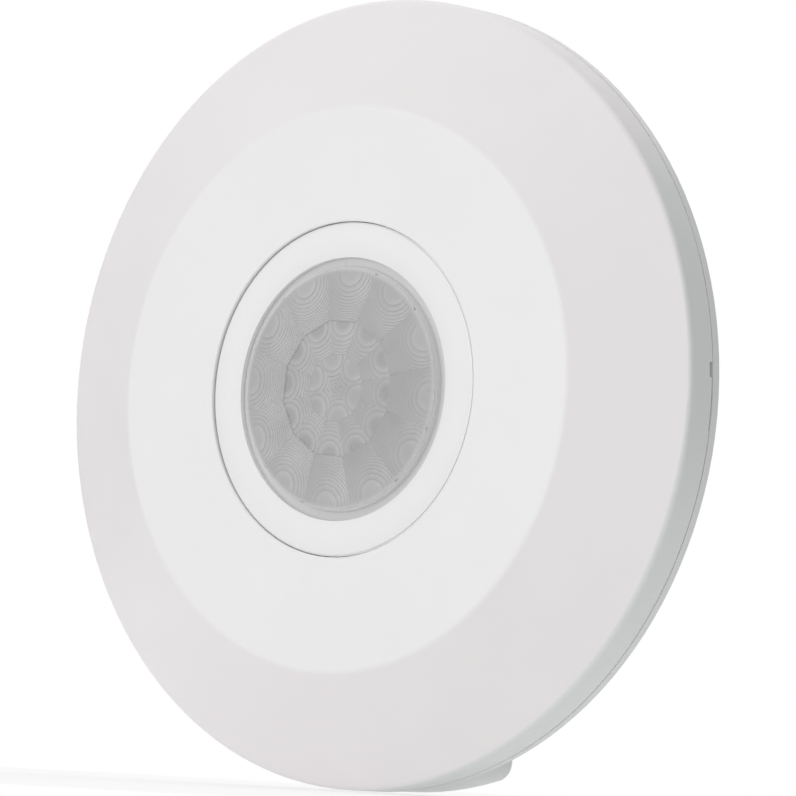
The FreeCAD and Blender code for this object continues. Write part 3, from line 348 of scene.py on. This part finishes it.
# ---------------------------------------------------------------- meshes


def new_piece(name, vertices, faces):
    mesh = bpy.data.meshes.new(name)
    mesh.from_pydata([tuple(map(float, vertex)) for vertex in vertices], [], [tuple(face) for face in faces])
    mesh.validate()
    mesh.update()
    piece = bpy.data.objects.new(name, mesh)
    bpy.context.scene.collection.objects.link(piece)
    return piece


def smooth(piece, sharpest_degrees):
    """Shades a piece smooth except across edges sharper than this."""
    piece.data.polygons.foreach_set("use_smooth", [True] * len(piece.data.polygons))
    piece.data.set_sharp_from_angle(angle=math.radians(sharpest_degrees))


# ---------------------------------------------------------------- the lens

LENS_TOP = -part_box("fresnel_lens")[0].y
LENS_SEAT = -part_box("fresnel_lens")[1].y
LENS_FLANGE_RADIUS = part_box("fresnel_lens")[1].x
DOME_RADIUS = 138.0 * MM
SHOULDER_RADIUS = 17.9 * MM
FOOT_RADIUS = 18.45 * MM
FOOT_HEIGHT = 22.5 * MM
FLANGE_TOP = 21.98 * MM
LENS_WALL = 0.85 * MM

# The lens face is cut into three rings of cells, each with its own rings of grooves.
FIRST_BOUNDARY = math.radians(11.0)
OUTER_POLYGON = 10.5 * MM
INNER_POLYGON = 5.2 * MM
CELL_LIMIT = 18.2 * MM
GROOVE_DEPTH = 0.09 * MM
GROOVE_WALL = 0.02 * MM
TILE_GAP = 0.03 * MM
TILE_FLOOR = 0.45 * MM
SHELL_DROP = 0.32 * MM
ROW_STEP = 0.17 * MM
RAY_COUNT = 100

# Each cell's optical centre and the radius of its first groove, ring of cells by ring of cells.
OUTER_EYE_RADIUS = 17.6 * MM
OUTER_FIRST_GROOVE = 2.1 * MM
INNER_EYE_RADIUS = 10.0 * MM
INNER_FIRST_GROOVE = 2.0 * MM
CENTRE_EYE_RADIUS = 4.6 * MM
CENTRE_FIRST_GROOVE = 1.9 * MM

LENS_GREY = (0.425, 0.425, 0.43)
# Painted light: the paler greys painted on the band round the shoulder and flange, and on walls that face
# sideways.
LENS_EDGE_LIT_GREY = (0.66, 0.66, 0.665)
LENS_WALL_LIT_GREY = (0.74, 0.74, 0.745)
EDGE_LIGHT_START = 17.4 * MM
EDGE_LIGHT_END = 18.9 * MM

# Painted light and shade on the milky plastic: how light it is painted at the top of a groove (painted
# highlight), at its foot and in a cell's middle (painted shade).
CREST_HIGHLIGHT = 1.10
FOOT_SHADE = 0.92
OUTER_EYE_TONE = 1.0
INNER_EYE_TONE = 0.88
CENTRE_EYE_TONE = 0.95
PLAIN_TONE = 1.0
SHOULDER_TONE = 1.0
# Painted shade and light: each cell is darker to its left and lighter to its right by this much, at this
# distance.
SIDE_SHADE = 0.085
SIDE_REACH = 3.5 * MM
# Grooves and tones die out over this distance before the lens's shoulder.
EDGE_FADE = 1.4 * MM


def dome_height(radius):
    """Height of the lens's outside above the mounting face, at this distance from the axis."""
    if radius <= SHOULDER_RADIUS:
        return LENS_TOP - DOME_RADIUS + math.sqrt(DOME_RADIUS**2 - radius**2)
    edge = LENS_TOP - DOME_RADIUS + math.sqrt(DOME_RADIUS**2 - SHOULDER_RADIUS**2)
    along = min(1.0, (radius - SHOULDER_RADIUS) / (FOOT_RADIUS - SHOULDER_RADIUS))
    return FOOT_HEIGHT + (edge - FOOT_HEIGHT) * math.sqrt(1.0 - along**2)


def polar(radius, angle):
    return np.array((radius * math.cos(angle), radius * math.sin(angle)))


def reach_inside(start, direction, corners, limit):
    """Distance from start along direction to the side of the convex cell, or to the round limit."""
    reach = math.inf
    for corner, following in zip(corners, corners[1:] + corners[:1]):
        side = following - corner
        outward = np.array((side[1], -side[0])) / np.linalg.norm(side)
        towards = float(outward @ direction)
        if towards > 1e-9:
            reach = min(reach, float(outward @ (corner - start)) / towards)
    across = float(start @ direction)
    round_reach = -across + math.sqrt(max(0.0, across**2 - float(start @ start) + limit**2))
    return max(0.0, min(reach, round_reach))


def cell_angles(centre, corners):
    """Even directions round the cell's optical centre, with one exactly at each corner."""
    even = [2 * math.pi * step / RAY_COUNT for step in range(RAY_COUNT)]
    exact = [math.atan2(*(corner - centre)[::-1]) % (2 * math.pi) for corner in corners]
    half_step = math.pi / RAY_COUNT
    kept = [
        angle
        for angle in even
        if all(abs((angle - other + math.pi) % (2 * math.pi) - math.pi) > half_step for other in exact)
    ]
    return sorted(kept + exact)


def groove_stations(first_radius, reach):
    """Distances from the optical centre, with how far each lies below the cell's highest level.
    Each ring rises away from the centre and ends in a steep wall."""
    stations = [(0.0, GROOVE_DEPTH)]
    ring = 1
    while first_radius * math.sqrt(ring) < reach:
        radius = first_radius * math.sqrt(ring)
        inner = first_radius * math.sqrt(ring - 1)
        stations.append(((inner + radius) / 2, GROOVE_DEPTH * 0.55 if ring > 1 else GROOVE_DEPTH * 0.8))
        stations.append((radius, 0.0))
        stations.append((radius + GROOVE_WALL, GROOVE_DEPTH))
        ring += 1
    stations.append((reach, None))
    return stations


def depth_at(stations, radius):
    """Depth below the cell's highest level at a distance from the optical centre."""
    for (start, depth), (end, next_depth) in zip(stations, stations[1:]):
        if radius <= end:
            if next_depth is None:
                return depth
            share = (radius - start) / max(end - start, 1e-9)
            return depth + (next_depth - depth) * share
    return 0.0


class CellMesh:
    """Collects the grooved cells of the lens as closed tiles."""

    def __init__(self):
        self.vertices = []
        self.faces = []
        self.tones = []

    def point(self, flat, height, tone=PLAIN_TONE):
        self.vertices.append((flat[0], -height, flat[1]))
        self.tones.append(tone)
        return len(self.vertices) - 1

    def add_cell(self, centre, corners, first_radius, step_down, cell_painted_light, eye_tone):
        angles = cell_angles(centre, corners)
        directions = [polar(1.0, angle) for angle in angles]
        reaches = [reach_inside(centre, direction, corners, CELL_LIMIT) for direction in directions]
        stations = groove_stations(first_radius, max(reaches))
        full = groove_stations(first_radius, max(reaches) + first_radius)

        def fade(flat):
            return min(1.0, max(0.0, (CELL_LIMIT - float(np.linalg.norm(flat))) / EDGE_FADE))

        def top_height(flat, depth):
            return dome_height(float(np.linalg.norm(flat))) - TILE_GAP - step_down - depth * fade(flat)

        # Painted highlights on groove crests, painted shade at groove feet and in the cell's middle, and
        # painted shade to the cell's left.
        def tone(flat, depth, distance):
            if distance < 0.9 * first_radius:
                groove = eye_tone
            else:
                groove = CREST_HIGHLIGHT + (FOOT_SHADE - CREST_HIGHLIGHT) * depth / GROOVE_DEPTH
            lean = min(1.0, max(-1.0, (flat[0] - centre[0]) / SIDE_REACH))
            shown = cell_painted_light * groove * (1.0 + SIDE_SHADE * lean)
            return SHOULDER_TONE + (shown - SHOULDER_TONE) * fade(flat)

        middle_tone = tone(centre, GROOVE_DEPTH, 0.0)
        middle_point = self.point(centre, top_height(centre, GROOVE_DEPTH), middle_tone)
        rows = []
        for direction, reach in zip(directions, reaches):
            row = [middle_point]
            for distance, depth in stations[1:]:
                if distance >= reach or depth is None:
                    flat = centre + direction * reach
                    end_depth = depth_at(full, reach)
                    row.append(self.point(flat, top_height(flat, end_depth), tone(flat, end_depth, reach)))
                    break
                flat = centre + direction * distance
                row.append(self.point(flat, top_height(flat, depth), tone(flat, depth, distance)))
            rows.append(row)
        for row, following in zip(rows, rows[1:] + rows[:1]):
            self.join_rows(row, following)
        self.close_tile(centre, [row[-1] for row in rows])

    def join_rows(self, row, following):
        """Faces between two neighbouring rays, which may end after different numbers of rings."""
        for index in range(max(len(row), len(following)) - 1):
            corners = [
                row[min(index, len(row) - 1)],
                row[min(index + 1, len(row) - 1)],
                following[min(index + 1, len(following) - 1)],
                following[min(index, len(following) - 1)],
            ]
            unique = [corner for place_in, corner in enumerate(corners) if corner not in corners[:place_in]]
            if len(unique) >= 3:
                self.faces.append(unique)

    def close_tile(self, centre, rim):
        """Side walls down into the lens's wall, and a floor."""
        bottom = []
        for index in rim:
            flat = (self.vertices[index][0], self.vertices[index][2])
            bottom.append(self.point(flat, dome_height(math.hypot(*flat)) - TILE_FLOOR))
        floor_point = self.point(centre, dome_height(float(np.linalg.norm(centre))) - TILE_FLOOR)
        for place_in in range(len(rim)):
            following = (place_in + 1) % len(rim)
            self.faces.append((rim[place_in], bottom[place_in], bottom[following], rim[following]))
            self.faces.append((bottom[place_in], floor_point, bottom[following]))


def lens_cells():
    """Twelve outer cells, twelve inner ones and six round the middle."""
    cells_made = CellMesh()
    for index in range(12):
        start = FIRST_BOUNDARY + math.radians(30.0 * index)
        end = start + math.radians(30.0)
        centre_angle = (start + end) / 2
        outer = [
            polar(OUTER_POLYGON, start),
            polar(2 * CELL_LIMIT, start),
            polar(2 * CELL_LIMIT, end),
            polar(OUTER_POLYGON, end),
        ]
        # Painted light: the outer cells at the top and bottom are painted lighter.
        outer_painted_light = 0.985 + 0.05 * math.sin(centre_angle) ** 2
        eye = polar(OUTER_EYE_RADIUS, centre_angle)
        cells_made.add_cell(eye, outer, OUTER_FIRST_GROOVE, 0.0, outer_painted_light, OUTER_EYE_TONE)
        inner = [
            polar(INNER_POLYGON, start),
            polar(OUTER_POLYGON, start),
            polar(OUTER_POLYGON, end),
            polar(INNER_POLYGON, end),
        ]
        # Painted light and shade: inner cells lighter at the top and bottom, darker at the sides.
        inner_painted_light = 1.0 - 0.03 * math.cos(2 * centre_angle)
        eye = polar(INNER_EYE_RADIUS, centre_angle)
        cells_made.add_cell(eye, inner, INNER_FIRST_GROOVE, ROW_STEP, inner_painted_light, INNER_EYE_TONE)
    for index in range(6):
        start = FIRST_BOUNDARY + math.radians(60.0 * index)
        half = start + math.radians(30.0)
        end = start + math.radians(60.0)
        wedge = [
            np.array((0.0, 0.0)),
            polar(INNER_POLYGON, start),
            polar(INNER_POLYGON, half),
            polar(INNER_POLYGON, end),
        ]
        eye = polar(CENTRE_EYE_RADIUS, half)
        cells_made.add_cell(eye, wedge, CENTRE_FIRST_GROOVE, ROW_STEP, PLAIN_TONE, CENTRE_EYE_TONE)
    return cells_made


def lens_shell(collected, segments=144):
    """The lens's wall under the cells, its shoulder, flange and inside, turned about the axis."""
    outside = [CELL_LIMIT * step / 8 for step in range(1, 9)]
    profile = [(radius, dome_height(radius) - SHELL_DROP) for radius in outside]
    profile += [(CELL_LIMIT, dome_height(CELL_LIMIT) - TILE_GAP)]
    for step in range(1, 7):
        radius = CELL_LIMIT + (FOOT_RADIUS - CELL_LIMIT) * step / 6
        profile.append((radius, dome_height(radius)))
    profile += [
        (FOOT_RADIUS, FLANGE_TOP + 0.1 * MM),
        (FOOT_RADIUS + 0.1 * MM, FLANGE_TOP),
        (LENS_FLANGE_RADIUS - 0.1 * MM, FLANGE_TOP),
        (LENS_FLANGE_RADIUS, FLANGE_TOP - 0.1 * MM),
        (LENS_FLANGE_RADIUS, LENS_SEAT),
        (FOOT_RADIUS - LENS_WALL, LENS_SEAT),
        (FOOT_RADIUS - LENS_WALL, FOOT_HEIGHT - 0.2 * MM),
    ]
    inner_radius = SHOULDER_RADIUS - 0.8 * LENS_WALL
    for step in range(8, 0, -1):
        radius = inner_radius * step / 8
        profile.append((radius, dome_height(radius) - LENS_WALL))
    top = collected.point((0.0, 0.0), dome_height(0.0) - SHELL_DROP)
    bottom = collected.point((0.0, 0.0), dome_height(0.0) - LENS_WALL)
    rings = []
    for radius, height in profile:
        rings.append(
            [
                collected.point(polar(radius, 2 * math.pi * step / segments), height, SHOULDER_TONE)
                for step in range(segments)
            ]
        )
    for step in range(segments):
        following = (step + 1) % segments
        collected.faces.append((top, rings[0][step], rings[0][following]))
        collected.faces.append((bottom, rings[-1][following], rings[-1][step]))
        for ring, next_ring in zip(rings, rings[1:]):
            collected.faces.append((ring[step], next_ring[step], next_ring[following], ring[following]))


def make_lens():
    """The grooved lens, which stands in for the plain CAD one and stores its tones of painted light and
    shade on the mesh.
    """
    collected = lens_cells()
    lens_shell(collected)
    piece = new_piece("fresnel_lens_grooved", collected.vertices, collected.faces)
    smooth(piece, 25.0)
    tone = piece.data.attributes.new("tone", "FLOAT", "POINT")
    tone.data.foreach_set("value", collected.tones)
    piece.data.materials.append(milky_lens())
    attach(piece, "base")
    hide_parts("fresnel_lens")
    print("lens faces", len(piece.data.polygons))


def milky_lens():
    """Milky polyethylene, slightly clouded, with painted light: grooves in their own painted tones of light
    and shade, and the flange band and the walls painted paler.
    """

    def colour(tree):
        clouds = mottled(LENS_GREY, 0.035, 5 * MM)(tree)
        # The painted light and shade of the grooves, stored on the mesh as tones.
        tone = tree.nodes.new("ShaderNodeAttribute")
        tone.attribute_name = "tone"
        grooved = tree.nodes.new("ShaderNodeVectorMath")
        grooved.operation = "SCALE"
        put(tree, grooved.inputs[0], clouds)
        put(tree, grooved.inputs["Scale"], tone.outputs["Fac"])
        radius = distance_from(tree, 0.0, 0.0)
        # Painted light: the band round the shoulder and flange is painted paler.
        flange = spread(tree, radius, 0.0, 1.0, EDGE_LIGHT_START, EDGE_LIGHT_END, smooth=True)
        faced = blend_colours(tree, flange, grooved.outputs[0], LENS_EDGE_LIT_GREY)
        # Painted light: walls that face sideways are painted paler.
        upright = maths(tree, "ABSOLUTE", facing(tree)[1])
        wall = spread(tree, upright, 1.0, 0.0, 0.25, 0.55)
        return blend_colours(tree, wall, faced, LENS_WALL_LIT_GREY)

    def surface(tree):
        return relief(tree, noise(tree, 0.4 * MM, 2.0), 0.006 * MM)

    return material("milky_lens", colour, uneven(0.32, 0.05, 2 * MM), surface, ior=1.54)


# ---------------------------------------------------------------- materials of the CAD nodes

WHITE = (0.83, 0.83, 0.825)
FACE_WHITE = (0.835, 0.835, 0.835)
# The sloped cone's white: a faint warm tint, darkened by painted shade against the flat face.
CONE_WARM_SHADED_WHITE = (0.80, 0.773, 0.78)
# Painted shade: the cooler, greyer white of the walls that face right and down.
RIM_SHADE_WHITE = (0.73, 0.75, 0.745)
FLAT_RADIUS = 42.5 * MM
LEAD_GREY = (0.55, 0.55, 0.54)
BOARD_FRONT = -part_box("main_board")[0].y


def cover_skin():
    """Satin white moulding: a neutral flat face, a warmer cone darkened by painted shade, and a rim painted
    cooler and greyer as painted shade.
    """

    def colour(tree):
        cone = spread(
            tree, distance_from(tree, 0.0, 0.0), 0.0, 1.0, FLAT_RADIUS - 0.2 * MM, FLAT_RADIUS + 0.6 * MM
        )
        face = mottled(FACE_WHITE, 0.006, 16 * MM)(tree)
        # The cone: a faint warm tint with painted shade.
        slope = mottled(CONE_WARM_SHADED_WHITE, 0.008, 12 * MM)(tree)
        front = blend_colours(tree, cone, face, slope)
        # Painted shade on the rim's walls that face right and down.
        return blend_colours(tree, painted_shade_side(tree), front, RIM_SHADE_WHITE)

    return material("cover_skin", colour, uneven(0.38, 0.05, 3 * MM), fine_grain(0.35 * MM, 0.005 * MM))


def painted_shade_side(tree):
    """1 on walls that face right or down to the right, where the rim is painted cooler and greyer as painted
    shade.
    """
    axes = facing(tree)
    right = maths(tree, "MULTIPLY", axes[0], 0.9)
    down = maths(tree, "MULTIPLY", axes[2], -0.43)
    return spread(tree, maths(tree, "ADD", right, down), 0.0, 1.0, 0.4, 0.55)


def fine_grain(size, depth):
    """Spark-eroded grain over faint sink marks."""

    def surface(tree):
        sink = relief(tree, noise(tree, 9 * MM, 1.0), 0.02 * MM)
        return relief(tree, noise(tree, size, 2.0), depth, below=sink)

    return surface


def back_skin():
    """The back box: matt white with a coarser grain, lightly rubbed where it meets the wall, and painted
    shade on its walls that face right and down.
    """

    def colour(tree):
        rubbed = spread(tree, noise(tree, 2.5 * MM, 5.0), 0.0, 0.5, 0.5, 0.7)
        back = spread(tree, split(tree, place(tree))[1], 0.0, 1.0, -0.3 * MM, -0.05 * MM)
        amount = maths(tree, "MULTIPLY", rubbed, back)
        skin = blend_colours(tree, amount, mottled(WHITE, 0.015, 10 * MM)(tree), shade(WHITE, 0.9))
        # Painted shade on the walls that face right and down.
        return blend_colours(tree, painted_shade_side(tree), skin, RIM_SHADE_WHITE)

    return material("back_skin", colour, uneven(0.5, 0.06, 3 * MM), fine_grain(0.5 * MM, 0.012 * MM))


def solder_mask():
    """Green lacquer over copper tracks, which show as a paler, slightly raised net."""

    def tracks(tree):
        distance = cells(tree, 3.2 * MM, "DISTANCE_TO_EDGE", stretched(tree, (1.0, 0.0, 1.0)))
        return spread(tree, distance, 1.0, 0.0, 0.08, 0.12)

    def colour(tree):
        lacquer = mottled((0.02, 0.16, 0.07), 0.12, 8 * MM)(tree)
        return blend_colours(tree, tracks(tree), lacquer, (0.05, 0.30, 0.14))

    def surface(tree):
        return relief(tree, tracks(tree), 0.04 * MM)

    return material("solder_mask", colour, uneven(0.25, 0.06, 2 * MM), surface, coat_weight=0.4)


def with_leads(name, colour, lead_top, roughness=0.35, grain=0.25 * MM, contrast=0.1):
    """A moulded package whose legs, below this height over the board, are bright metal."""

    def is_lead(tree):
        height = maths(tree, "MULTIPLY", split(tree, place(tree))[1], -1.0)
        return spread(tree, height, 1.0, 0.0, BOARD_FRONT + lead_top, BOARD_FRONT + lead_top + 0.05 * MM)

    def mixed(tree):
        return blend_colours(tree, is_lead(tree), mottled(colour, contrast, 1.2 * MM)(tree), LEAD_GREY)

    def surface(tree):
        return relief(tree, noise(tree, grain, 2.0), 0.01 * MM)

    made = material(name, mixed, uneven(roughness, 0.06, 1 * MM), surface)
    put(made.node_tree, made.node_tree.nodes["Principled BSDF"].inputs["Metallic"], is_lead(made.node_tree))
    return made


def sleeved_can(name):
    """A dark printed sleeve round an aluminium can whose scored top is bare."""

    def is_top(tree):
        return spread(tree, facing(tree)[1], 1.0, 0.0, -0.9, -0.75)

    def colour(tree):
        stripe = spread(tree, facing(tree)[0], 0.0, 1.0, 0.86, 0.88)
        sleeve = blend_colours(
            tree, stripe, mottled((0.02, 0.025, 0.05), 0.15, 1 * MM)(tree), (0.55, 0.56, 0.58)
        )
        return blend_colours(tree, is_top(tree), sleeve, (0.72, 0.72, 0.73))

    def surface(tree):
        brushed = noise(tree, 0.2 * MM, 3.0, vector=stretched(tree, (1.0, 1.0, 0.1)))
        return relief(tree, brushed, 0.01 * MM)

    made = material(name, colour, uneven(0.3, 0.06, 1 * MM), surface)
    put(made.node_tree, made.node_tree.nodes["Principled BSDF"].inputs["Metallic"], is_top(made.node_tree))
    return made


def banded(name, colour, bands, node_name, turn_degrees, lead_half_length):
    """A lacquered body with painted bands across its length, and bare wire beyond its ends.
    Each band is (middle along the body, half width, colour)."""
    centre = middle(node_name)
    turn = math.radians(turn_degrees)

    def along(tree):
        axes = split(tree, place(tree))
        across = maths(tree, "MULTIPLY", maths(tree, "SUBTRACT", axes[0], centre.x), math.cos(turn))
        rise = maths(tree, "MULTIPLY", maths(tree, "SUBTRACT", axes[2], centre.z), math.sin(turn))
        return maths(tree, "ADD", across, rise)

    def is_wire(tree):
        reach = maths(tree, "ABSOLUTE", along(tree))
        return spread(tree, reach, 0.0, 1.0, lead_half_length, lead_half_length + 0.05 * MM)

    def painted(tree):
        result = mottled(colour, 0.06, 1 * MM)(tree)
        for place_along, half_width, band_colour in bands:
            gap = maths(tree, "ABSOLUTE", maths(tree, "SUBTRACT", along(tree), place_along))
            amount = spread(tree, gap, 1.0, 0.0, half_width - 0.03 * MM, half_width + 0.03 * MM)
            result = blend_colours(tree, amount, result, band_colour)
        return blend_colours(tree, is_wire(tree), result, LEAD_GREY)

    def surface(tree):
        return relief(tree, noise(tree, 0.7 * MM, 2.0), 0.04 * MM)

    made = material(name, painted, uneven(0.3, 0.06, 1 * MM), surface)
    put(made.node_tree, made.node_tree.nodes["Principled BSDF"].inputs["Metallic"], is_wire(made.node_tree))
    return made


def tiny_chips(name, colour):
    """Two-ended chips: a glazed middle, with tinned ends picked out by a fine scatter of solder."""

    def mixed(tree):
        solder = spread(tree, noise(tree, 0.6 * MM, 1.0), 0.0, 1.0, 0.55, 0.6)
        return blend_colours(tree, solder, mottled(colour, 0.1, 0.5 * MM)(tree), shade(LEAD_GREY, 0.9))

    def surface(tree):
        return relief(tree, noise(tree, 0.3 * MM, 2.0), 0.03 * MM)

    return material(name, mixed, uneven(0.28, 0.06, 0.5 * MM), surface)


def photocell_track():
    """A lacquered ceramic disc with a zigzag of dark sensing track across its face."""

    def colour(tree):
        wave = tree.nodes.new("ShaderNodeTexWave")
        wave.wave_type = "BANDS"
        wave.bands_direction = "X"
        put(tree, wave.inputs["Vector"], place(tree))
        wave.inputs["Scale"].default_value = 0.32 / MM
        wave.inputs["Distortion"].default_value = 1.5
        track = spread(tree, wave.outputs["Fac"], 0.0, 1.0, 0.45, 0.55)
        front = spread(tree, facing(tree)[1], 1.0, 0.0, -0.95, -0.8)
        amount = maths(tree, "MULTIPLY", track, front)
        ceramic = mottled((0.75, 0.42, 0.3), 0.06, 1 * MM)(tree)
        return blend_colours(tree, amount, ceramic, (0.25, 0.05, 0.04))

    def surface(tree):
        return relief(tree, noise(tree, 0.8 * MM, 1.0), 0.03 * MM)

    return material("photocell_track", colour, uneven(0.2, 0.05, 1 * MM), surface, coat_weight=0.5)


def tinted_epoxy():
    def surface(tree):
        return relief(tree, noise(tree, 1.2 * MM, 1.0), 0.02 * MM)

    return material(
        "tinted_epoxy",
        mottled((0.6, 0.03, 0.02), 0.1, 1.5 * MM),
        uneven(0.12, 0.03, 1 * MM),
        surface,
        transmission_weight=0.4,
        ior=1.52,
    )


def coated_silicon():
    """The detector's filter: a dark mirror with a faint violet coating."""

    def surface(tree):
        return relief(tree, noise(tree, 0.5 * MM, 2.0), 0.003 * MM)

    return material(
        "coated_silicon",
        mottled((0.05, 0.035, 0.07), 0.2, 1 * MM),
        uneven(0.1, 0.03, 0.8 * MM),
        surface,
        coat_weight=0.6,
    )


def soft_rubber():
    def surface(tree):
        skin = relief(tree, noise(tree, 3 * MM, 1.0), 0.05 * MM)
        return relief(tree, noise(tree, 0.25 * MM, 3.0), 0.02 * MM, below=skin)

    tint = mottled((0.62, 0.62, 0.6), 0.03, 4 * MM)
    return material("soft_rubber", tint, uneven(0.75, 0.06, 2 * MM), surface)


def node_looks():
    """The material of each CAD node."""
    steel = plated("plated_steel", (0.56, 0.57, 0.58))
    clamp = plated("tinned_clamp", (0.6, 0.6, 0.6), 0.35)
    trimmer = moulded("trimmer_resin", (0.03, 0.045, 0.12), 0.45, 0.1, 0.3 * MM, 0.01 * MM)
    nylon = moulded("grey_nylon", (0.34, 0.36, 0.37), 0.45, 0.03, 0.3 * MM, 0.01 * MM)
    transistor = with_leads("transistor_body", (0.02, 0.02, 0.022), 3.0 * MM)
    resistor_bands = (
        (-2.9 * MM, 0.4 * MM, (0.45, 0.22, 0.02)),
        (-1.3 * MM, 0.4 * MM, (0.02, 0.02, 0.02)),
        (0.3 * MM, 0.4 * MM, (0.25, 0.07, 0.02)),
        (2.9 * MM, 0.4 * MM, (0.6, 0.42, 0.1)),
    )
    diode_bands = ((1.7 * MM, 0.45 * MM, (0.6, 0.6, 0.6)),)
    return {
        "rear_base": back_skin(),
        "cable_grommet": soft_rubber(),
        "inner_housing": moulded("housing_skin", WHITE, 0.45, 0.012, 0.4 * MM, 0.008 * MM),
        "housing_screws": steel,
        "front_cover": cover_skin(),
        "lens_bezel": moulded("bezel_skin", FACE_WHITE, 0.33, 0.006, 0.35 * MM, 0.004 * MM),
        "fresnel_lens": moulded("lens_under_skin", LENS_GREY),
        "main_board": solder_mask(),
        "board_screws": steel,
        "sensor_spacer": moulded("black_nylon", (0.02, 0.02, 0.022), 0.5, 0.1),
        "pir_sensor": plated("nickel_can", (0.66, 0.64, 0.6), 0.22),
        "sensor_window": coated_silicon(),
        "photocell": photocell_track(),
        "indicator_led": tinted_epoxy(),
        "sensitivity_trimmer": trimmer,
        "lux_trimmer": trimmer,
        "time_trimmer": trimmer,
        "sensitivity_knob": nylon,
        "lux_knob": nylon,
        "time_knob": nylon,
        "relay": dipped("relay_skin", (0.01, 0.04, 0.2), 0.3, 0.05),
        "film_capacitor": dipped("film_capacitor_skin", (0.62, 0.36, 0.02), 0.35, 0.04),
        "filter_capacitor": sleeved_can("filter_sleeve"),
        "small_capacitors": sleeved_can("small_sleeve"),
        "varistor": with_leads("varistor_skin", (0.015, 0.05, 0.17), 1.9 * MM, 0.22, 1.2 * MM),
        "fuse": with_leads("fuse_skin", (0.11, 0.03, 0.015), 0.55 * MM, 0.45),
        "series_resistor": banded(
            "series_resistor_skin", (0.2, 0.36, 0.4), resistor_bands, "series_resistor", 68.0, 4.5 * MM
        ),
        "rectifier_diodes": banded(
            "diode_skin", (0.02, 0.02, 0.022), diode_bands, "rectifier_diodes", 0.0, 2.6 * MM
        ),
        "control_chip": moulded("chip_epoxy", (0.02, 0.02, 0.022), 0.5, 0.1, 0.15 * MM, 0.01 * MM),
        "driver_transistor": transistor,
        "voltage_regulator": transistor,
        "chip_resistors": tiny_chips("chip_resistor_skin", (0.02, 0.02, 0.025)),
        "chip_capacitors": tiny_chips("chip_capacitor_skin", (0.3, 0.19, 0.1)),
        "terminal_block": moulded("terminal_green", (0.02, 0.16, 0.07), 0.4, 0.06, 0.3 * MM, 0.01 * MM),
        "terminal_clamps": clamp,
        "terminal_screws": steel,
    }


def dress_nodes():
    """Gives each CAD node's every material slot its new material."""
    for node_name, made in node_looks().items():
        slots = nodes[node_name].data.materials
        if not slots:
            slots.append(made)
        for index in range(len(slots)):
            slots[index] = made


# ---------------------------------------------------------------- small pieces

GAP_SEAT_INSIDE = 24.9 * MM
GAP_SEAT_OUTSIDE = 25.22 * MM
GAP_SEAT_TOP = 22.58 * MM
GAP_SEAT_DEPTH = 0.6 * MM
DIAL_PLACES = (("sensitivity", 120.0), ("lux", 90.0), ("time", 60.0))
DIAL_CIRCLE = 33.0 * MM
DIAL_TURN = 135.0
MARK_TOP = 20.96 * MM
MARK_DEPTH = 0.3 * MM
MARK_INSIDE = 4.0 * MM
MARK_OUTSIDE = 5.0 * MM
MARK_GROWTH = 0.6 * MM
MARK_COUNT = 11


class Solids:
    """Collects small prisms that stand out of the front."""

    def __init__(self):
        self.vertices = []
        self.faces = []

    def add_prism(self, outline, top, depth):
        """A prism on an outline of flat (x, z) points, running anticlockwise from the front."""
        first = len(self.vertices)
        count = len(outline)
        for height in (top, top - depth):
            self.vertices += [(flat[0], -height, flat[1]) for flat in outline]
        self.faces.append(list(range(first, first + count)))
        self.faces.append([first + 2 * count - 1 - index for index in range(count)])
        for index in range(count):
            following = (index + 1) % count
            self.faces.append(
                [first + index, first + count + index, first + count + following, first + following]
            )

    def add_ring(self, inside, outside, top, depth, segments=144):
        first = len(self.vertices)
        for radius, height in ((inside, top), (outside, top), (outside, top - depth), (inside, top - depth)):
            for step in range(segments):
                flat = polar(radius, 2 * math.pi * step / segments)
                self.vertices.append((flat[0], -height, flat[1]))
        for row in range(4):
            for step in range(segments):
                following = (step + 1) % segments
                here = first + row * segments
                there = first + ((row + 1) % 4) * segments
                self.faces.append([here + step, there + step, there + following, here + following])


def make_gap_seat():
    """The bezel's foot, seen at the bottom of the gap between the bezel and the cover."""
    solids = Solids()
    solids.add_ring(GAP_SEAT_INSIDE, GAP_SEAT_OUTSIDE, GAP_SEAT_TOP, GAP_SEAT_DEPTH)
    piece = new_piece("bezel_gap_seat", solids.vertices, solids.faces)
    smooth(piece, 30.0)
    piece.data.materials.append(moulded("gap_seat_skin", FACE_WHITE, 0.4, 0.01, 0.3 * MM, 0.004 * MM))
    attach(piece, "base")


def make_dial_marks():
    """Plain moulded ticks that grow round each dial, without words or numbers."""
    for dial, place_angle in DIAL_PLACES:
        solids = Solids()
        centre = polar(DIAL_CIRCLE, math.radians(place_angle))
        outward = math.radians(place_angle)
        for step in range(MARK_COUNT):
            share = step / (MARK_COUNT - 1)
            angle = outward + math.radians(DIAL_TURN * (1 - 2 * share))
            reach = MARK_OUTSIDE + MARK_GROWTH * share
            along = polar(1.0, angle)
            across = np.array((-along[1], along[0])) * (0.1 + 0.1 * share) * MM
            outline = [
                centre + along * MARK_INSIDE - across,
                centre + along * reach - across,
                centre + along * reach + across,
                centre + along * MARK_INSIDE + across,
            ]
            solids.add_prism(outline, MARK_TOP, MARK_DEPTH)
        piece = new_piece(dial + "_dial_marks", solids.vertices, solids.faces)
        piece.data.materials.append(
            moulded(dial + "_marks_skin", (0.2, 0.21, 0.22), 0.5, 0.05, 0.2 * MM, 0.005 * MM)
        )
        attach(piece, "base")


make_camera()
make_room()
make_floor()
dress_nodes()
make_lens()
make_gap_seat()
make_dial_marks()
